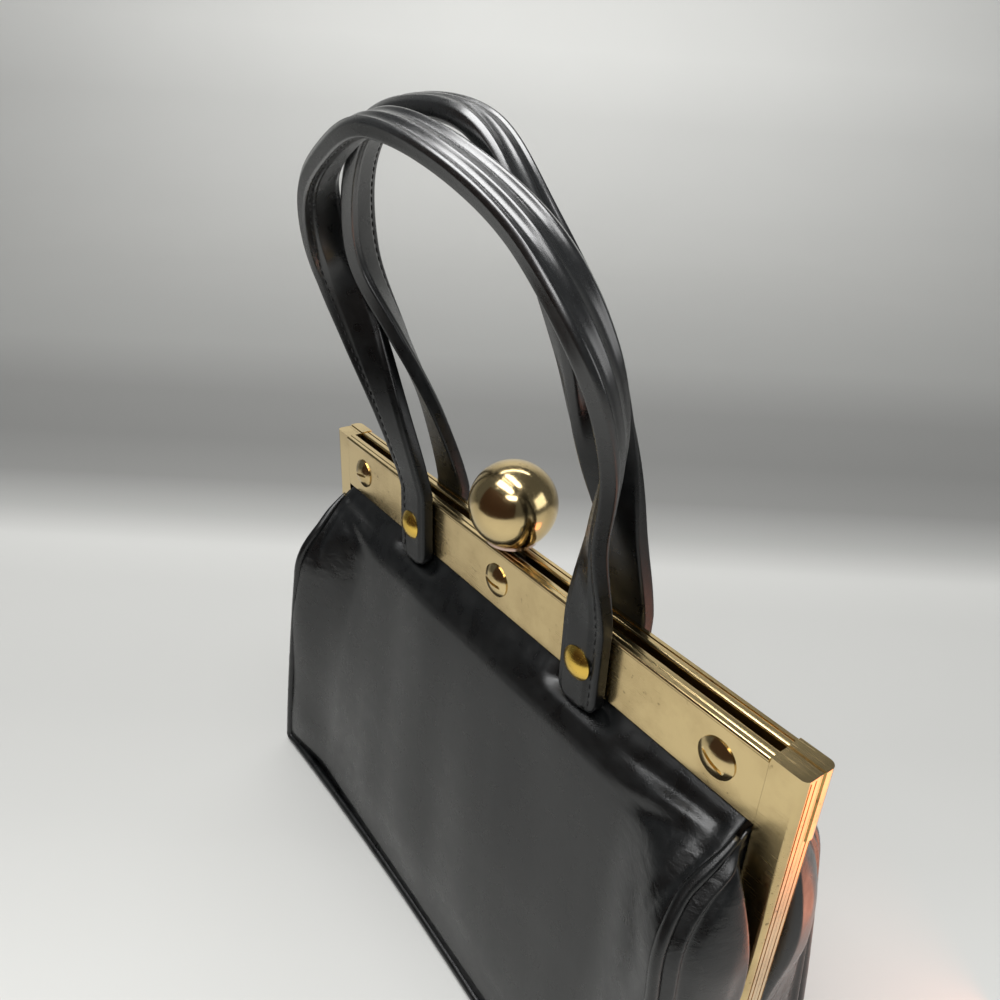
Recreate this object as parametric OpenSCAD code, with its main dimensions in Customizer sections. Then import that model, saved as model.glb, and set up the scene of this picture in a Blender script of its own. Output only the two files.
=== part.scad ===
// Framed handbag with a single ball clasp and two strap handles, in millimetres.
// The origin is the centre of the base on the floor. +X runs along the frame, -Y is the front, +Z is up.
// Everything is drawn at rest: frame shut, clasp home, both handles leaning forward.

/* [Frame] */
// Length of the frame over its legs
frame_l = 250; // [235:1:290]
// Height of the frame's top above the floor
frame_h = 164; // [158:1:180]
// Thickness of the shut frame over both plates
frame_t = 11.2; // [11:0.1:12.5]
// Gap between the two halves along the top, where the clasp stem stands
slot_w = 3; // [3:0.1:3.2]
// Clearance between the two halves at the legs
seam_gap = 0.1; // [0.06:0.02:0.2]
// Height of the leather-gripping channel
channel_h = 20; // [19:0.5:21]
// Sheet thickness of the channel
channel_wall = 0.7; // [0.6:0.05:0.75]
// Bend radius of the channel's top corners
channel_bend = 0.9; // [0.75:0.05:1]
// Height of the cover plates
plate_h = 23.5; // [22:0.5:24.5]
// Thickness of the cover plates
plate_t = 1.2; // [1:0.05:1.3]
// Radius of the rolled bead along a plate's top edge
bead_r = 0.9; // [0.7:0.05:1]

/* [Legs and hinges] */
// Width of a leg, seen from the front
leg_w = 10.5; // [9.5:0.5:12]
// Length of a leg below the frame's top
leg_l = 99; // [90:1:100]
// Wall of a leg
leg_wall = 0.8; // [0.7:0.05:0.9]
// Radius of a leg's outer corner
leg_corner_r = 2; // [1:0.1:2.5]
// Width of the decorative grooves on a leg's end face
groove_w = 0.5; // [0.3:0.05:0.7]
// Depth of those grooves
groove_depth = 0.3; // [0.15:0.05:0.4]
// Drop of the hinge axis below the frame's top
hinge_drop = 108; // [107:1:112]
// Radius of the round hinge eyes
hinge_eye_r = 5.5; // [4.5:0.1:6]
// Thickness of the hinge tabs
tab_t = 1.5; // [1.2:0.1:1.6]
// Gap between the two tabs, and between a tab and a pin's head
tab_gap = 0.4; // [0.2:0.05:0.5]
// Diameter of the hinge pins
hinge_pin_d = 3; // [2.4:0.1:4]
// Diameter of the hinge pins' heads
hinge_head_d = 5.6; // [5:0.1:7]
// Thickness of the hinge pins' heads
hinge_head_t = 0.9; // [0.6:0.1:1]
// Distance of the outer tabs inside the frame's ends
tab_inset = 2; // [1.8:0.1:2.4]
// Radial running clearance of pins in their eyes
pin_clear = 0.05; // [0.03:0.01:0.08]
// Wall of the corner sleeves
sleeve_wall = 0.4; // [0.3:0.05:0.6]
// Height of the corner sleeves
sleeve_h = 24; // [15:1:35]
// Distance of the sleeves' front edges behind the seam
sleeve_back = 1.4; // [1.2:0.1:2]

/* [Fasteners] */
// Pitch of the screws and rivets along a plate
fastener_pitch = 50; // [46:1:50]
// Drop of the screws and rivets below the frame's top
fastener_drop = 12.2; // [12:0.1:12.6]
// Diameter of the slotted screw heads
screw_head_d = 12.3; // [9:0.1:13]
// Crown height of the screw heads
screw_head_h = 2.2; // [1.6:0.1:3]
// Width of the screwdriver slot
screw_slot_w = 1.2; // [0.8:0.1:1.6]
// Depth of the screwdriver slot
screw_slot_depth = 1; // [0.6:0.1:1.4]
// Diameter of the rivet heads
rivet_head_d = 11.4; // [9:0.1:13]
// Crown height of the rivet heads
rivet_head_h = 2.4; // [1.8:0.1:3.2]
// Thickness of the thin flange under every head
head_rim = 0.4; // [0.2:0.05:0.6]
// Diameter of the shanks
shank_d = 3; // [2.6:0.1:3.2]
// Radial clearance of the shank holes
shank_clear = 0.1; // [0.05:0.01:0.15]
// Diameter of the burr that closes a shank inside the channel
burr_d = 4.4; // [4:0.1:5]
// Thickness of that burr
burr_t = 0.6; // [0.4:0.05:0.7]
// Clearance between metal pieces that are fixed to each other
fit = 0.05; // [0.03:0.01:0.08]

/* [Clasp] */
// Diameter of the ball
ball_d = 30.5; // [26:0.5:34]
// Gap between the frame's top and the collar under the ball
collar_lift = 0.25; // [0.2:0.05:0.6]
// Thickness of the collar
collar_t = 0.7; // [0.5:0.05:1]
// Diameter of the collar
collar_d = 18; // [14:0.5:20]
// Width of the lever and its stem
lever_w = 4; // [3.6:0.1:4.4]
// Thickness of the stem in the slot
stem_t = 1.2; // [1:0.05:1.4]
// Diameter of the peg that holds the ball
peg_d = 2.4; // [2:0.1:3]
// Depth of the peg in the ball
peg_depth = 7; // [4:0.5:10]
// Drop of the clasp's axis below the frame's top
clasp_drop = 5; // [4.9:0.1:5.3]
// Distance of the clasp's axis behind the seam
clasp_back = 1.4; // [1.3:0.05:1.5]
// Radius of the lever's barrel
barrel_r = 1.35; // [1.25:0.05:1.4]
// Length of the barrel
barrel_l = 4.8; // [4.6:0.1:5.2]
// Diameter of the clasp's pivot pin
clasp_pin_d = 1.6; // [1.2:0.1:1.7]
// Length of the clasp's pivot pin
clasp_pin_l = 12.8; // [12.6:0.1:13.2]
// Thickness of the lever's arm
arm_t = 1.4; // [1.2:0.05:1.5]
// Depth of the lip at the arm's end
lip_h = 1; // [0.8:0.05:1.1]
// Thickness of the lip at the arm's end
lip_t = 0.9; // [0.7:0.05:1]
// Clearance between the lip and the catch's tongue
catch_clear = 0.1; // [0.05:0.01:0.15]
// Thickness of the catch and of the pivot bracket
bracket_t = 0.7; // [0.6:0.05:0.75]
// Width of the catch
catch_w = 7; // [6:0.5:8]
// Wire thickness of the clasp's spring
spring_wire = 0.4; // [0.3:0.05:0.4]

/* [Bag] */
// How far the base's side seams stand in from the frame's ends
base_inset = 2.5; // [-2.5:0.5:5]
// Depth of the base over its front and rear seams
base_d = 84; // [76:1:96]
// How far the side seams stand in from the legs, just under the frame
neck_gap = 3.7; // [3.6:0.1:5]
// Depth between the front and rear seams where the roll begins
shoulder_d = 65.5; // [60:0.5:74]
// Height at which the sides begin to roll in to the frame
shoulder_h = 114; // [108:1:118]
// Height at which the side seams become upright
waist_h = 125; // [118:1:130]
// How the side seams spread towards the base, higher is fuller
side_fullness = 1.6; // [1.3:0.1:2.2]
// How late the sides roll in to the frame, where 1 is a straight slope
roll_power = 1.35; // [1.1:0.05:1.6]
// Crown of the front and rear panels at the roll
panel_crown = 4; // [0:0.5:5]
// How far the panels are drawn in at the middle of the base
base_dish = 3.5; // [0:0.5:4]
// How far the gussets puff out beyond the seams
gusset_puff = 4; // [0:0.5:6]
// Thickness of the leather
leather_t = 1; // [0.8:0.05:1.05]
// Thickness of the skived leather edge inside the channel
tongue_t = 0.9; // [0.7:0.05:0.95]
// Length of that edge inside the channel
tongue_l = 5; // [4:0.25:5.25]
// Half length of the notch that keeps the leather clear of the clasp
clasp_notch = 14; // [9:0.5:16]
// Diameter of the piping in the seams
piping_d = 3.8; // [3:0.1:4.2]
// Clearance between sewn edges
seam_clear = 0.05; // [0.03:0.01:0.1]
// Clearance between the leather and the metal
leather_clear = 0.1; // [0.05:0.01:0.12]
// Thickness of the stiffening board in the base
board_t = 2; // [1.2:0.1:3]
// Thickness of the lining
lining_t = 0.3; // [0.2:0.05:0.4]
// How far the lining's ends stand in from the side seams at the neck
lining_inset = 1.8; // [1.6:0.1:4]
// Space between the outer leather and the lining
lining_space = 4.6; // [4.2:0.1:6]
// Width of the sewn pocket inside
pocket_w = 110; // [80:1:150]
// Height of the sewn pocket
pocket_h = 60; // [40:1:70]
// Height of the pocket's lower seam
pocket_z = 35; // [20:1:40]
// How far the pocket's mouth stands off the lining
pocket_gape = 2.5; // [1:0.25:3.5]

/* [Handles] */
// Width of a strap at its rivet
strap_w = 17.5; // [15:0.5:18]
// Width of a strap along the grip
grip_w = 12.2; // [11:0.1:12.8]
// Thickness of a strap
strap_t = 5.5; // [4.5:0.1:5.5]
// Drop of a strap's end below the plate's lower edge
strap_drop = 0.8; // [0:0.1:0.8]
// Corner radius of a strap's end
strap_end_r = 5; // [3:0.5:7]
// Height of the bend line of a strap above the frame's top
bend_rise = 1.5; // [1:0.1:2]
// Distance from the bend line to the swinging part of a strap
bend_gap = 3.3; // [3.3:0.05:4]
// Thickness of the strap where the swinging part starts
bend_t = 4; // [3:0.1:4.2]
// Rise of the front handle above its bend lines
front_arch_h = 129.1; // [120:0.5:132]
// Rise of the rear handle above its bend lines
rear_arch_h = 134.9; // [133:0.5:140]
// Half width of the front handle's arch, to the middle of the strap
front_arch_w = 74.4; // [70:0.5:78]
// Half width of the rear handle's arch, to the middle of the strap
rear_arch_w = 57.7; // [56:0.5:62]
// Height of an arch's widest place above the bend line
arch_mid_h = 76; // [70:0.5:84]
// Squareness of an arch, where 2 is an ellipse
arch_square = 1.95; // [1.9:0.05:2.2]
// Sideways sag of the front handle's arch
front_sway = 7.7; // [6:0.1:9]
// Sideways sag of the rear handle's arch
rear_sway = 13.8; // [12:0.1:15]
// Forward lean of the front handle, run over rise
front_lean = 0.188; // [0.186:0.001:0.2]
// Forward lean of the rear handle, run over rise
rear_lean = 0.245; // [0.22:0.001:0.246]
// Extra forward lean of the front handle towards its grip, per millimetre of rise
front_lean_curve = 0.0005; // [0.0004:0.00002:0.0006]
// Extra forward lean of the rear handle towards its grip, per millimetre of rise
rear_lean_curve = 0.000185; // [0.0001:0.000005:0.0002]
// Turn of the front grip out of the plane of its arch
front_grip_tilt = -6.7; // [-10:0.1:0]
// Turn of the rear grip out of the plane of its arch
rear_grip_tilt = 13.7; // [8:0.1:16]
// Height over which a front arm makes its quarter twist
front_twist_run = 93.9; // [80:0.1:100]
// Height over which a rear arm makes its quarter twist
rear_twist_run = 56.6; // [50:0.1:64]

/* [Hidden] */
$fn = 48;

brass = "#c4b07a";
yellow_brass = "#cfa92e";
black_leather = "#1b1f1f";
black_trim = "#0e1111";
cloth = "#6d5a48";
board = "#8a8276";
steel = "#9a9a98";
rose_silver = "#c3a79c";

eps = 0.02;
over = 1;
half_l = frame_l / 2;
half_t = frame_t / 2;
seam_y = seam_gap / 2;
plate_back = half_t - plate_t;
bead_set = bead_r * 0.35;
slot_y = slot_w / 2;
channel_t = plate_back - slot_y;
channel_bottom = frame_h - channel_h;
plate_bottom = frame_h - plate_h;
leg_x = half_l - leg_w;
leg_t = half_t - seam_y;
leg_bottom = frame_h - leg_l;
hinge_z = frame_h - hinge_drop;
hinge_pin_r = hinge_pin_d / 2;
outer_tab_x = half_l - tab_inset - tab_t;
inner_tab_x = outer_tab_x - tab_gap - tab_t;
tab_in_leg = 10;
fastener_z = frame_h - fastener_drop;
shank_r = shank_d / 2;
shank_hole_r = shank_r + shank_clear;
wall_inner_y = plate_back - channel_wall;
screw_places = [-2, 0, 2];
rivet_places = [-1, 1];

// Clasp places, all worked out from its axis
clasp_z = frame_h - clasp_drop;
ball_r = ball_d / 2;
collar_in_r = ball_r + fit;
collar_out_r = collar_in_r + collar_t;
ball_z = frame_h + collar_lift + collar_out_r;
stem_top = ball_z - collar_out_r;
lip_front_y = -wall_inner_y + 0.3;
lip_bottom = clasp_z - arm_t / 2 - lip_h;
tongue_back_gap = 0.3;
catch_y = lip_front_y + lip_t + tongue_back_gap;
catch_foot_z = fastener_z + burr_d / 2 + 0.3;
bracket_y = wall_inner_y - fit;
flange_bottom = fastener_z - 3;
ear_x = barrel_l / 2 + 3;
ear_r = clasp_pin_d / 2 + 0.7;
clasp_pin_r = clasp_pin_d / 2;
clasp_bore_r = clasp_pin_r + pin_clear;
window_x = ear_x + bracket_t + 0.4;
window_bottom = catch_foot_z - 0.3;
spring_r = clasp_bore_r + spring_wire;
spring_x = barrel_l / 2 + 0.4;
spring_l = 2.1;

// Leather places
piping_r = piping_d / 2;
piping_z = piping_r + 0.3;
edge_gap = piping_r + seam_clear;
tuck_y = wall_inner_y - leather_clear - tongue_t / 2;
lip_y = half_t - leather_t / 2 - leather_clear;
lip_z = plate_bottom - 0.8;
tuck_z = plate_bottom + 0.2;
panel_top = channel_bottom - 0.2;
panel_bottom = piping_z + edge_gap;
gusset_bottom = leather_t + seam_clear;
gusset_top = plate_bottom - 2.5;
piping_top = plate_bottom - piping_r - 1.6;
tuck_x = leg_x - leather_clear - leather_t;
neck_x = leg_x - neck_gap;
base_x = half_l - base_inset;
lining_end_x = neck_x - lining_inset;
fold_y = half_t + 1.4;
fold_run = 7;
recess_z = hinge_z - hinge_eye_r - 2.5;
recess_run = 20;
board_z = leather_t + 0.4;
lining_z = board_z + board_t + 0.2;
lining_top = channel_bottom - 2;
lining_mouth_y = tuck_y - leather_t / 2 - 0.15;
lining_corner = 6;

// Handle places
bend_z = frame_h + bend_rise;
strap_y = half_t + strap_t / 2;
strap_end_z = plate_bottom - strap_drop;
arm_from = 8;
front_twist_from = 9;
rear_twist_from = 19;
front_arch_tilt = 0.017;
rear_arch_tilt = -0.055;
taper_from = 8;
taper_run = 37;
round_r = 1.6;

// Smooth step from 0 to 1
function smooth(t) = t <= 0 ? 0 : t >= 1 ? 1 : t * t * (3 - 2 * t);
function mix(a, b, t) = a + (b - a) * t;
function unit(v) = v / norm(v);

// Half depth and half width of the bag along its piped seams, at height z
function wall_y(z) = mix(base_d, shoulder_d, z / shoulder_h) / 2;
function roll(z) = pow(min(max((z - shoulder_h) / (lip_z - shoulder_h), 0), 1), roll_power);
function rolled_y(z) = mix(wall_y(z), lip_y, roll(z));
function edge_y(z) = mix(rolled_y(z), tuck_y, min(max((z - lip_z) / (tuck_z - lip_z), 0), 1));
// Gap across a seam, measured level, where the seam slopes
function level_gap(z) = edge_gap * norm([1, edge_y(z - 0.5) - edge_y(z + 0.5)]);
function spread(z) = 1 - pow(min(max(z, 0) / waist_h, 1), side_fullness);
function edge_x(z) = mix(neck_x, base_x, spread(z));

// Middle of the front leather at (x, z), as a distance in front of the seam plane
function crown(z) = mix(-base_dish, panel_crown, smooth(z / shoulder_h));
function across(x, z) = 1 - pow(x / edge_x(z), 2);
function panel_y(x, z) = edge_y(z) + crown(z) * (1 - roll(z)) * across(x, z);

// Middle of the right gusset at (y, z): puffed out, and drawn in behind the legs
function puff(y, z) = gusset_puff * sin(180 * pow(min(abs(y) / edge_y(z), 1), 2));
function tucked(y, z) = (1 - smooth((abs(y) - fold_y) / fold_run))
    * smooth((z - recess_z + recess_run) / recess_run);
function gusset_x(y, z) = mix(edge_x(z) + puff(y, z) * (1 - roll(z)), tuck_x, tucked(y, z));

// Closed sheet between two grids of points, the first one on the side that is seen
module sheet(seen, back) {
    rows = len(seen);
    cols = len(seen[0]);
    count = rows * cols;
    points = concat([for (row = seen) for (p = row) p], [for (row = back) for (p = row) p]);
    function at(i, j) = i * cols + j;
    cells = [for (i = [0:rows - 2]) for (j = [0:cols - 2])
        [at(i, j), at(i, j + 1), at(i + 1, j + 1), at(i + 1, j)]];
    skins = [for (c = cells) each [
        [c[0], c[3], c[2]], [c[0], c[2], c[1]],
        [c[0] + count, c[1] + count, c[2] + count], [c[0] + count, c[2] + count, c[3] + count]]];
    lower = [for (j = [0:cols - 2]) [at(0, j), at(0, j + 1)]];
    upper = [for (j = [0:cols - 2]) [at(rows - 1, j + 1), at(rows - 1, j)]];
    left = [for (i = [0:rows - 2]) [at(i + 1, 0), at(i, 0)]];
    right = [for (i = [0:rows - 2]) [at(i, cols - 1), at(i + 1, cols - 1)]];
    rims = [for (e = concat(lower, upper, left, right)) each [
        [e[0], e[1], e[1] + count], [e[0], e[1] + count, e[0] + count]]];
    polyhedron(points = points, faces = concat(skins, rims), convexity = 6);
}

// Closed tube through rings of points that run clockwise as seen from the first ring's outside
module loft(rings) {
    sides = len(rings[0]);
    last = (len(rings) - 1) * sides;
    walls = [for (i = [0:len(rings) - 2]) for (j = [0:sides - 1]) each
        let (a = i * sides + j, b = i * sides + (j + 1) % sides)
        [[a, b, b + sides], [a, b + sides, a + sides]]];
    first_cap = [for (j = [1:sides - 2]) [0, j + 1, j]];
    last_cap = [for (j = [1:sides - 2]) [last, last + j, last + j + 1]];
    polyhedron(points = [for (r = rings) for (p = r) p],
        faces = concat(walls, first_cap, last_cap), convexity = 8);
}

// Draws its child on both sides of the bag
module both_sides() {
    children();
    mirror([1, 0, 0]) children();
}

// Axis of a drilled hole or shank runs along Y, starting at the front
module along_y(x, y, z) {
    translate([x, y, z]) rotate([-90, 0, 0]) children();
}

module along_x(x, y, z) {
    translate([x, y, z]) rotate([0, 90, 0]) children();
}

// Outline in the Y-Z plane pushed along X
module extrude_x(x, l) {
    translate([x, 0, 0]) rotate([90, 0, 90]) linear_extrude(l) children();
}

/* Leather */

rows_z = 16;
cols_x = 18;

module panel_leather() {
    heights = concat([for (i = [0:rows_z]) mix(panel_bottom, lip_z, pow(i / rows_z, 0.72))],
        [tuck_z, panel_top]);
    function place(j, z) = (2 * j / cols_x - 1) * (edge_x(z) - edge_gap);
    seen = [for (z = heights) [for (j = [0:cols_x]) let (x = place(j, z))
        [x, -panel_y(x, z) - leather_t / 2, z]]];
    back = [for (row = seen) [for (p = row) [p[0], p[1] + leather_t, p[2]]]];
    tongue_end = edge_x(panel_top) - edge_gap;
    union() {
        sheet(seen, back);
        both_sides() translate([clasp_notch, -tuck_y - tongue_t / 2, panel_top - 1])
            cube([tongue_end - clasp_notch, tongue_t, tongue_l + 1.2]);
    }
}

module front_panel() {
    color(black_leather) panel_leather();
}

module rear_panel() {
    color(black_leather) mirror([0, 1, 0]) panel_leather();
}

gusset_rows = 22;
gusset_cols = 16;

module gusset_leather() {
    heights = [for (i = [0:gusset_rows]) mix(gusset_bottom, gusset_top, i / gusset_rows)];
    function half_y(z) = edge_y(max(z, panel_bottom)) - level_gap(z);
    seen = [for (z = heights) [for (j = [0:gusset_cols]) let (y = (2 * j / gusset_cols - 1) * half_y(z))
        [gusset_x(y, z) + leather_t / 2, y, z]]];
    back = [for (row = seen) [for (p = row) [p[0] - leather_t, p[1], p[2]]]];
    sheet(seen, back);
}

module left_gusset() {
    color(black_leather) mirror([1, 0, 0]) gusset_leather();
}

module right_gusset() {
    color(black_leather) gusset_leather();
}

piping_corner = 2;
piping_sides = 8;

// Middle line of the front piping: down the right seam, along the base and up the left seam
side_line = [for (i = [0:17]) let (z = mix(piping_top, piping_z + piping_corner, i / 17))
    [edge_x(z), -edge_y(z), z]];
corner_line = [for (a = [22.5:22.5:67.5])
    [edge_x(piping_z) - piping_corner * (1 - cos(a)), -edge_y(piping_z),
     piping_z + piping_corner * (1 - sin(a))]];
base_line = [for (i = [0:8]) let (x = mix(1, -1, i / 8) * (edge_x(piping_z) - piping_corner))
    [x, -edge_y(piping_z) + base_dish * across(x, 0), piping_z]];
function flipped(line) = [for (i = [len(line) - 1:-1:0]) [-line[i][0], line[i][1], line[i][2]]];
piping_line = concat(side_line, corner_line, base_line, flipped(corner_line), flipped(side_line));

module piping() {
    last = len(piping_line) - 1;
    loft([for (i = [0:last])
        let (p = piping_line[i],
             t = unit(piping_line[min(i + 1, last)] - piping_line[max(i - 1, 0)]),
             b = unit(cross(t, [0, -1, 0])),
             n = cross(b, t))
        [for (k = [0:piping_sides - 1]) let (a = -360 * k / piping_sides)
            p + piping_r * (cos(a) * n + sin(a) * b)]]);
}

module front_piping() {
    color(black_trim) piping();
}

module rear_piping() {
    color(black_trim) mirror([0, 1, 0]) piping();
}

// The base leather lies flat on the floor between the piped seams
module base_panel() {
    steps = 24;
    far_x = edge_x(0) + leather_t / 2;
    front = [for (i = [0:steps]) let (x = mix(-far_x, far_x, i / steps))
        [x, -edge_y(piping_z) + base_dish * max(across(x, 0), 0) + edge_gap]];
    rear = [for (i = [steps:-1:0]) [front[i][0], -front[i][1]]];
    color(black_leather) linear_extrude(leather_t) polygon(concat(front, rear));
}

module base_board() {
    deep = edge_y(0) - lining_space - over;
    color(board) translate([-lining_end_x, -deep, board_z])
        cube([2 * lining_end_x, 2 * deep, board_t]);
}

// Half sizes of the lining at height z
function lining_y(z) = max(edge_y(z) - lining_space, lining_mouth_y);
function lining_x(z) = min(lining_end_x, edge_x(z) - leather_t - over);

function lining_ring(z, grow) =
    let (x = lining_x(z) + grow, y = lining_y(z) + grow, c = min(lining_corner, y * 0.6))
    [[-x + c, -y, z], [-x, -y + c, z], [-x, y - c, z], [-x + c, y, z],
     [x - c, y, z], [x, y - c, z], [x, -y + c, z], [x - c, -y, z]];

module lining_shape(grow, from, to) {
    steps = 14;
    mouth_z = lip_z - 1.2;
    heights = concat([for (i = [0:steps]) mix(from, mouth_z, pow(i / steps, 0.6))], [to]);
    loft([for (z = heights) lining_ring(z, grow)]);
}

module lining() {
    color(cloth) difference() {
        lining_shape(0, lining_z, lining_top);
        lining_shape(-lining_t, lining_z + lining_t, lining_top + 0.01);
    }
}

// Patch pocket sewn to the rear of the lining, a little open at its top
module inner_pocket() {
    steps = 8;
    heights = [for (i = [0:steps]) pocket_z + pocket_h * i / steps];
    places = [for (j = [0:steps]) (j / steps - 0.5) * pocket_w];
    function off(x, z) = lining_t + 0.1 + pocket_gape * smooth((z - pocket_z) / pocket_h)
        * (1 - pow(2 * x / pocket_w, 2));
    seen = [for (z = heights) [for (x = places) [x, lining_y(z) - off(x, z) - lining_t, z]]];
    back = [for (row = seen) [for (p = row) [p[0], p[1] + lining_t, p[2]]]];
    color(cloth) sheet(seen, back);
}

/* Frame halves, drawn at the front and mirrored for the rear */

// Channel section with rounded top corners, open below, standing on the Y axis
module channel_outline() {
    difference() {
        union() {
            square([channel_t, channel_h - channel_bend]);
            translate([channel_bend, 0]) square([channel_t - 2 * channel_bend, channel_h]);
            translate([channel_bend, channel_h - channel_bend]) circle(channel_bend);
            translate([channel_t - channel_bend, channel_h - channel_bend]) circle(channel_bend);
        }
        translate([channel_wall, -over])
            square([channel_t - 2 * channel_wall, channel_h - channel_wall + over]);
    }
}

// Solid outline of a right leg in the X-Y plane, grown by a wall for the sleeves
module leg_outline(grow) {
    r = leg_corner_r + grow;
    x = half_l + grow;
    y = half_t + grow;
    translate([leg_x, -y]) difference() {
        square([x - leg_x, y - seam_y]);
        translate([x - leg_x - r, 0]) difference() {
            translate([0, -over]) square([r + over, r + over]);
            translate([0, r]) circle(r);
        }
    }
}

// Hollow leg section: open towards the bag, with two fine grooves on its end face
module leg_section() {
    difference() {
        leg_outline(0);
        translate([leg_x - over, -half_t + leg_wall])
            square([leg_w - leg_wall + over, leg_t - 2 * leg_wall]);
        for (k = [1, 2])
            translate([half_l - groove_depth, -k * half_t / 3 - groove_w / 2]) square([over, groove_w]);
    }
}

module hinge_tab(x) {
    neck_y = seam_y + leg_wall / 2;
    top = leg_bottom + tab_in_leg - hinge_z;
    bare = leg_bottom - hinge_z;
    translate([x, 0, hinge_z]) rotate([90, 0, 90]) linear_extrude(tab_t) difference() {
        union() {
            circle(hinge_eye_r);
            polygon([[-half_t + leg_wall / 2, 0], [hinge_eye_r * 0.62, hinge_eye_r * 0.76],
                [-neck_y, bare], [-neck_y, top], [-half_t + leg_wall / 2, top]]);
        }
        circle(hinge_pin_r + pin_clear);
    }
}

module leg(tab_x) {
    translate([0, 0, leg_bottom]) linear_extrude(leg_l) leg_section();
    translate([0, 0, frame_h - leg_wall]) linear_extrude(leg_wall) leg_outline(0);
    hinge_tab(tab_x);
}

// Fastener holes of one half
module fastener_holes(places, r) {
    for (k = places)
        along_y(k * fastener_pitch, -half_t - over, fastener_z) cylinder(r = r, h = half_t - slot_y - over);
}

module half_channel(tab_x) {
    bar_l = half_l - leg_wall / 2;
    difference() {
        union() {
            extrude_x(-bar_l, 2 * bar_l)
                translate([-plate_back, channel_bottom]) channel_outline();
            both_sides() leg(tab_x);
        }
        fastener_holes([-2:2], shank_hole_r);
        // Window through the slot-side wall for the clasp
        translate([-window_x, -slot_y - channel_wall - 0.2, window_bottom])
            cube([2 * window_x, channel_wall + 0.4, frame_h - channel_wall - window_bottom]);
    }
}

// Plate with a rolled bead on its top edge and a rounded lower edge
module half_plate() {
    long = leg_x - seam_y;
    difference() {
        extrude_x(-long, 2 * long) translate([-half_t, plate_bottom]) {
            translate([0, plate_t / 2]) square([plate_t, plate_h - plate_t / 2]);
            translate([plate_t / 2, plate_t / 2]) circle(plate_t / 2);
            translate([bead_set, plate_h - bead_r]) circle(bead_r);
        }
        fastener_holes([-2:2], shank_hole_r);
    }
}

// Half of a crowned head's section: a thin rim with an arc over it
module crown_section(r, h) {
    arc_r = (r * r + h * h) / (2 * h);
    square([r, head_rim]);
    intersection() {
        translate([0, head_rim + h - arc_r]) circle(arc_r, $fn = 160);
        square([r, head_rim + h + over]);
    }
}

// Headed fastener whose head sits at y = -seat, with its burr inside the channel
module fastener(k, seat, head_r, head_h, burr_y) {
    translate([k * fastener_pitch, -seat, fastener_z]) {
        rotate([90, 0, 0]) rotate_extrude() crown_section(head_r, head_h);
        rotate([-90, 0, 0]) cylinder(r = shank_r, h = seat - burr_y);
    }
    along_y(k * fastener_pitch, -burr_y - burr_t, fastener_z) cylinder(r = burr_d / 2, h = burr_t);
}

module plate_screws() {
    middle_y = wall_inner_y - bracket_t - 2 * fit;
    outer_y = wall_inner_y - fit;
    difference() {
        for (k = screw_places)
            fastener(k, half_t, screw_head_d / 2, screw_head_h, (k == 0 ? middle_y : outer_y) - burr_t);
        for (k = screw_places)
            translate([k * fastener_pitch, -half_t - head_rim - screw_head_h, fastener_z])
                rotate([0, 8 * (1 + k), 0]) translate([-screw_head_d, -over, -screw_slot_w / 2])
                    cube([2 * screw_head_d, screw_slot_depth + over, screw_slot_w]);
    }
}

module handle_rivets() {
    for (k = rivet_places)
        fastener(k, half_t + strap_t, rivet_head_d / 2, rivet_head_h, wall_inner_y - fit - burr_t);
}

// Flat strap ends, held by the rivets, with a half-round upper edge at the bend line
module handle_ends() {
    r = strap_end_r;
    for (k = rivet_places) translate([k * fastener_pitch, -half_t - strap_t, 0]) difference() {
        union() {
            along_y(0, 0, strap_end_z) linear_extrude(strap_t) mirror([0, 1, 0]) {
                translate([-strap_w / 2, r]) square([strap_w, bend_z - strap_end_z - r]);
                translate([-strap_w / 2 + r, 0]) square([strap_w - 2 * r, r + eps]);
                for (s = [-1, 1]) translate([s * (strap_w / 2 - r), r]) circle(r);
            }
            along_x(-strap_w / 2, strap_t / 2, bend_z) cylinder(r = strap_t / 2, h = strap_w);
        }
        along_y(0, -over, fastener_z) cylinder(r = shank_hole_r, h = strap_t + 2 * over);
        // Groove where the strap lies over the plate's bead
        along_x(-strap_w, strap_t + bead_set, frame_h - bead_r)
            cylinder(r = bead_r + seam_clear, h = 2 * strap_w);
    }
}

module front_channel() {
    color(brass) half_channel(outer_tab_x);
}

module rear_channel() {
    // The web is notched behind the stem so that the ball can tip back
    color(brass) difference() {
        mirror([0, 1, 0]) half_channel(inner_tab_x);
        translate([-lever_w / 2 - 0.5, slot_y - over, frame_h - channel_wall - over])
            cube([lever_w + 1, over + 0.9, channel_wall + 2 * over]);
    }
}

module front_plate() {
    color(brass) half_plate();
}

module rear_plate() {
    color(brass) mirror([0, 1, 0]) half_plate();
}

module front_plate_screws() {
    color(brass) plate_screws();
}

module rear_plate_screws() {
    color(brass) mirror([0, 1, 0]) plate_screws();
}

module front_handle_rivets() {
    color(yellow_brass) handle_rivets();
}

module rear_handle_rivets() {
    color(yellow_brass) mirror([0, 1, 0]) handle_rivets();
}

module front_handle_ends() {
    color(black_leather) handle_ends();
}

module rear_handle_ends() {
    color(black_leather) mirror([0, 1, 0]) handle_ends();
}

// Thin caps round the top corners of the rear half
module rear_corner_sleeves() {
    top = frame_h + sleeve_wall;
    color(brass) both_sides() mirror([0, 1, 0]) difference() {
        translate([0, 0, top - sleeve_h]) linear_extrude(sleeve_h) leg_outline(sleeve_wall);
        translate([0, 0, top - sleeve_h - over]) linear_extrude(sleeve_h + over - sleeve_wall)
            leg_outline(0);
        translate([0, -sleeve_back, 0]) cube([frame_l, frame_t, 2 * frame_h]);
    }
}

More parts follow.
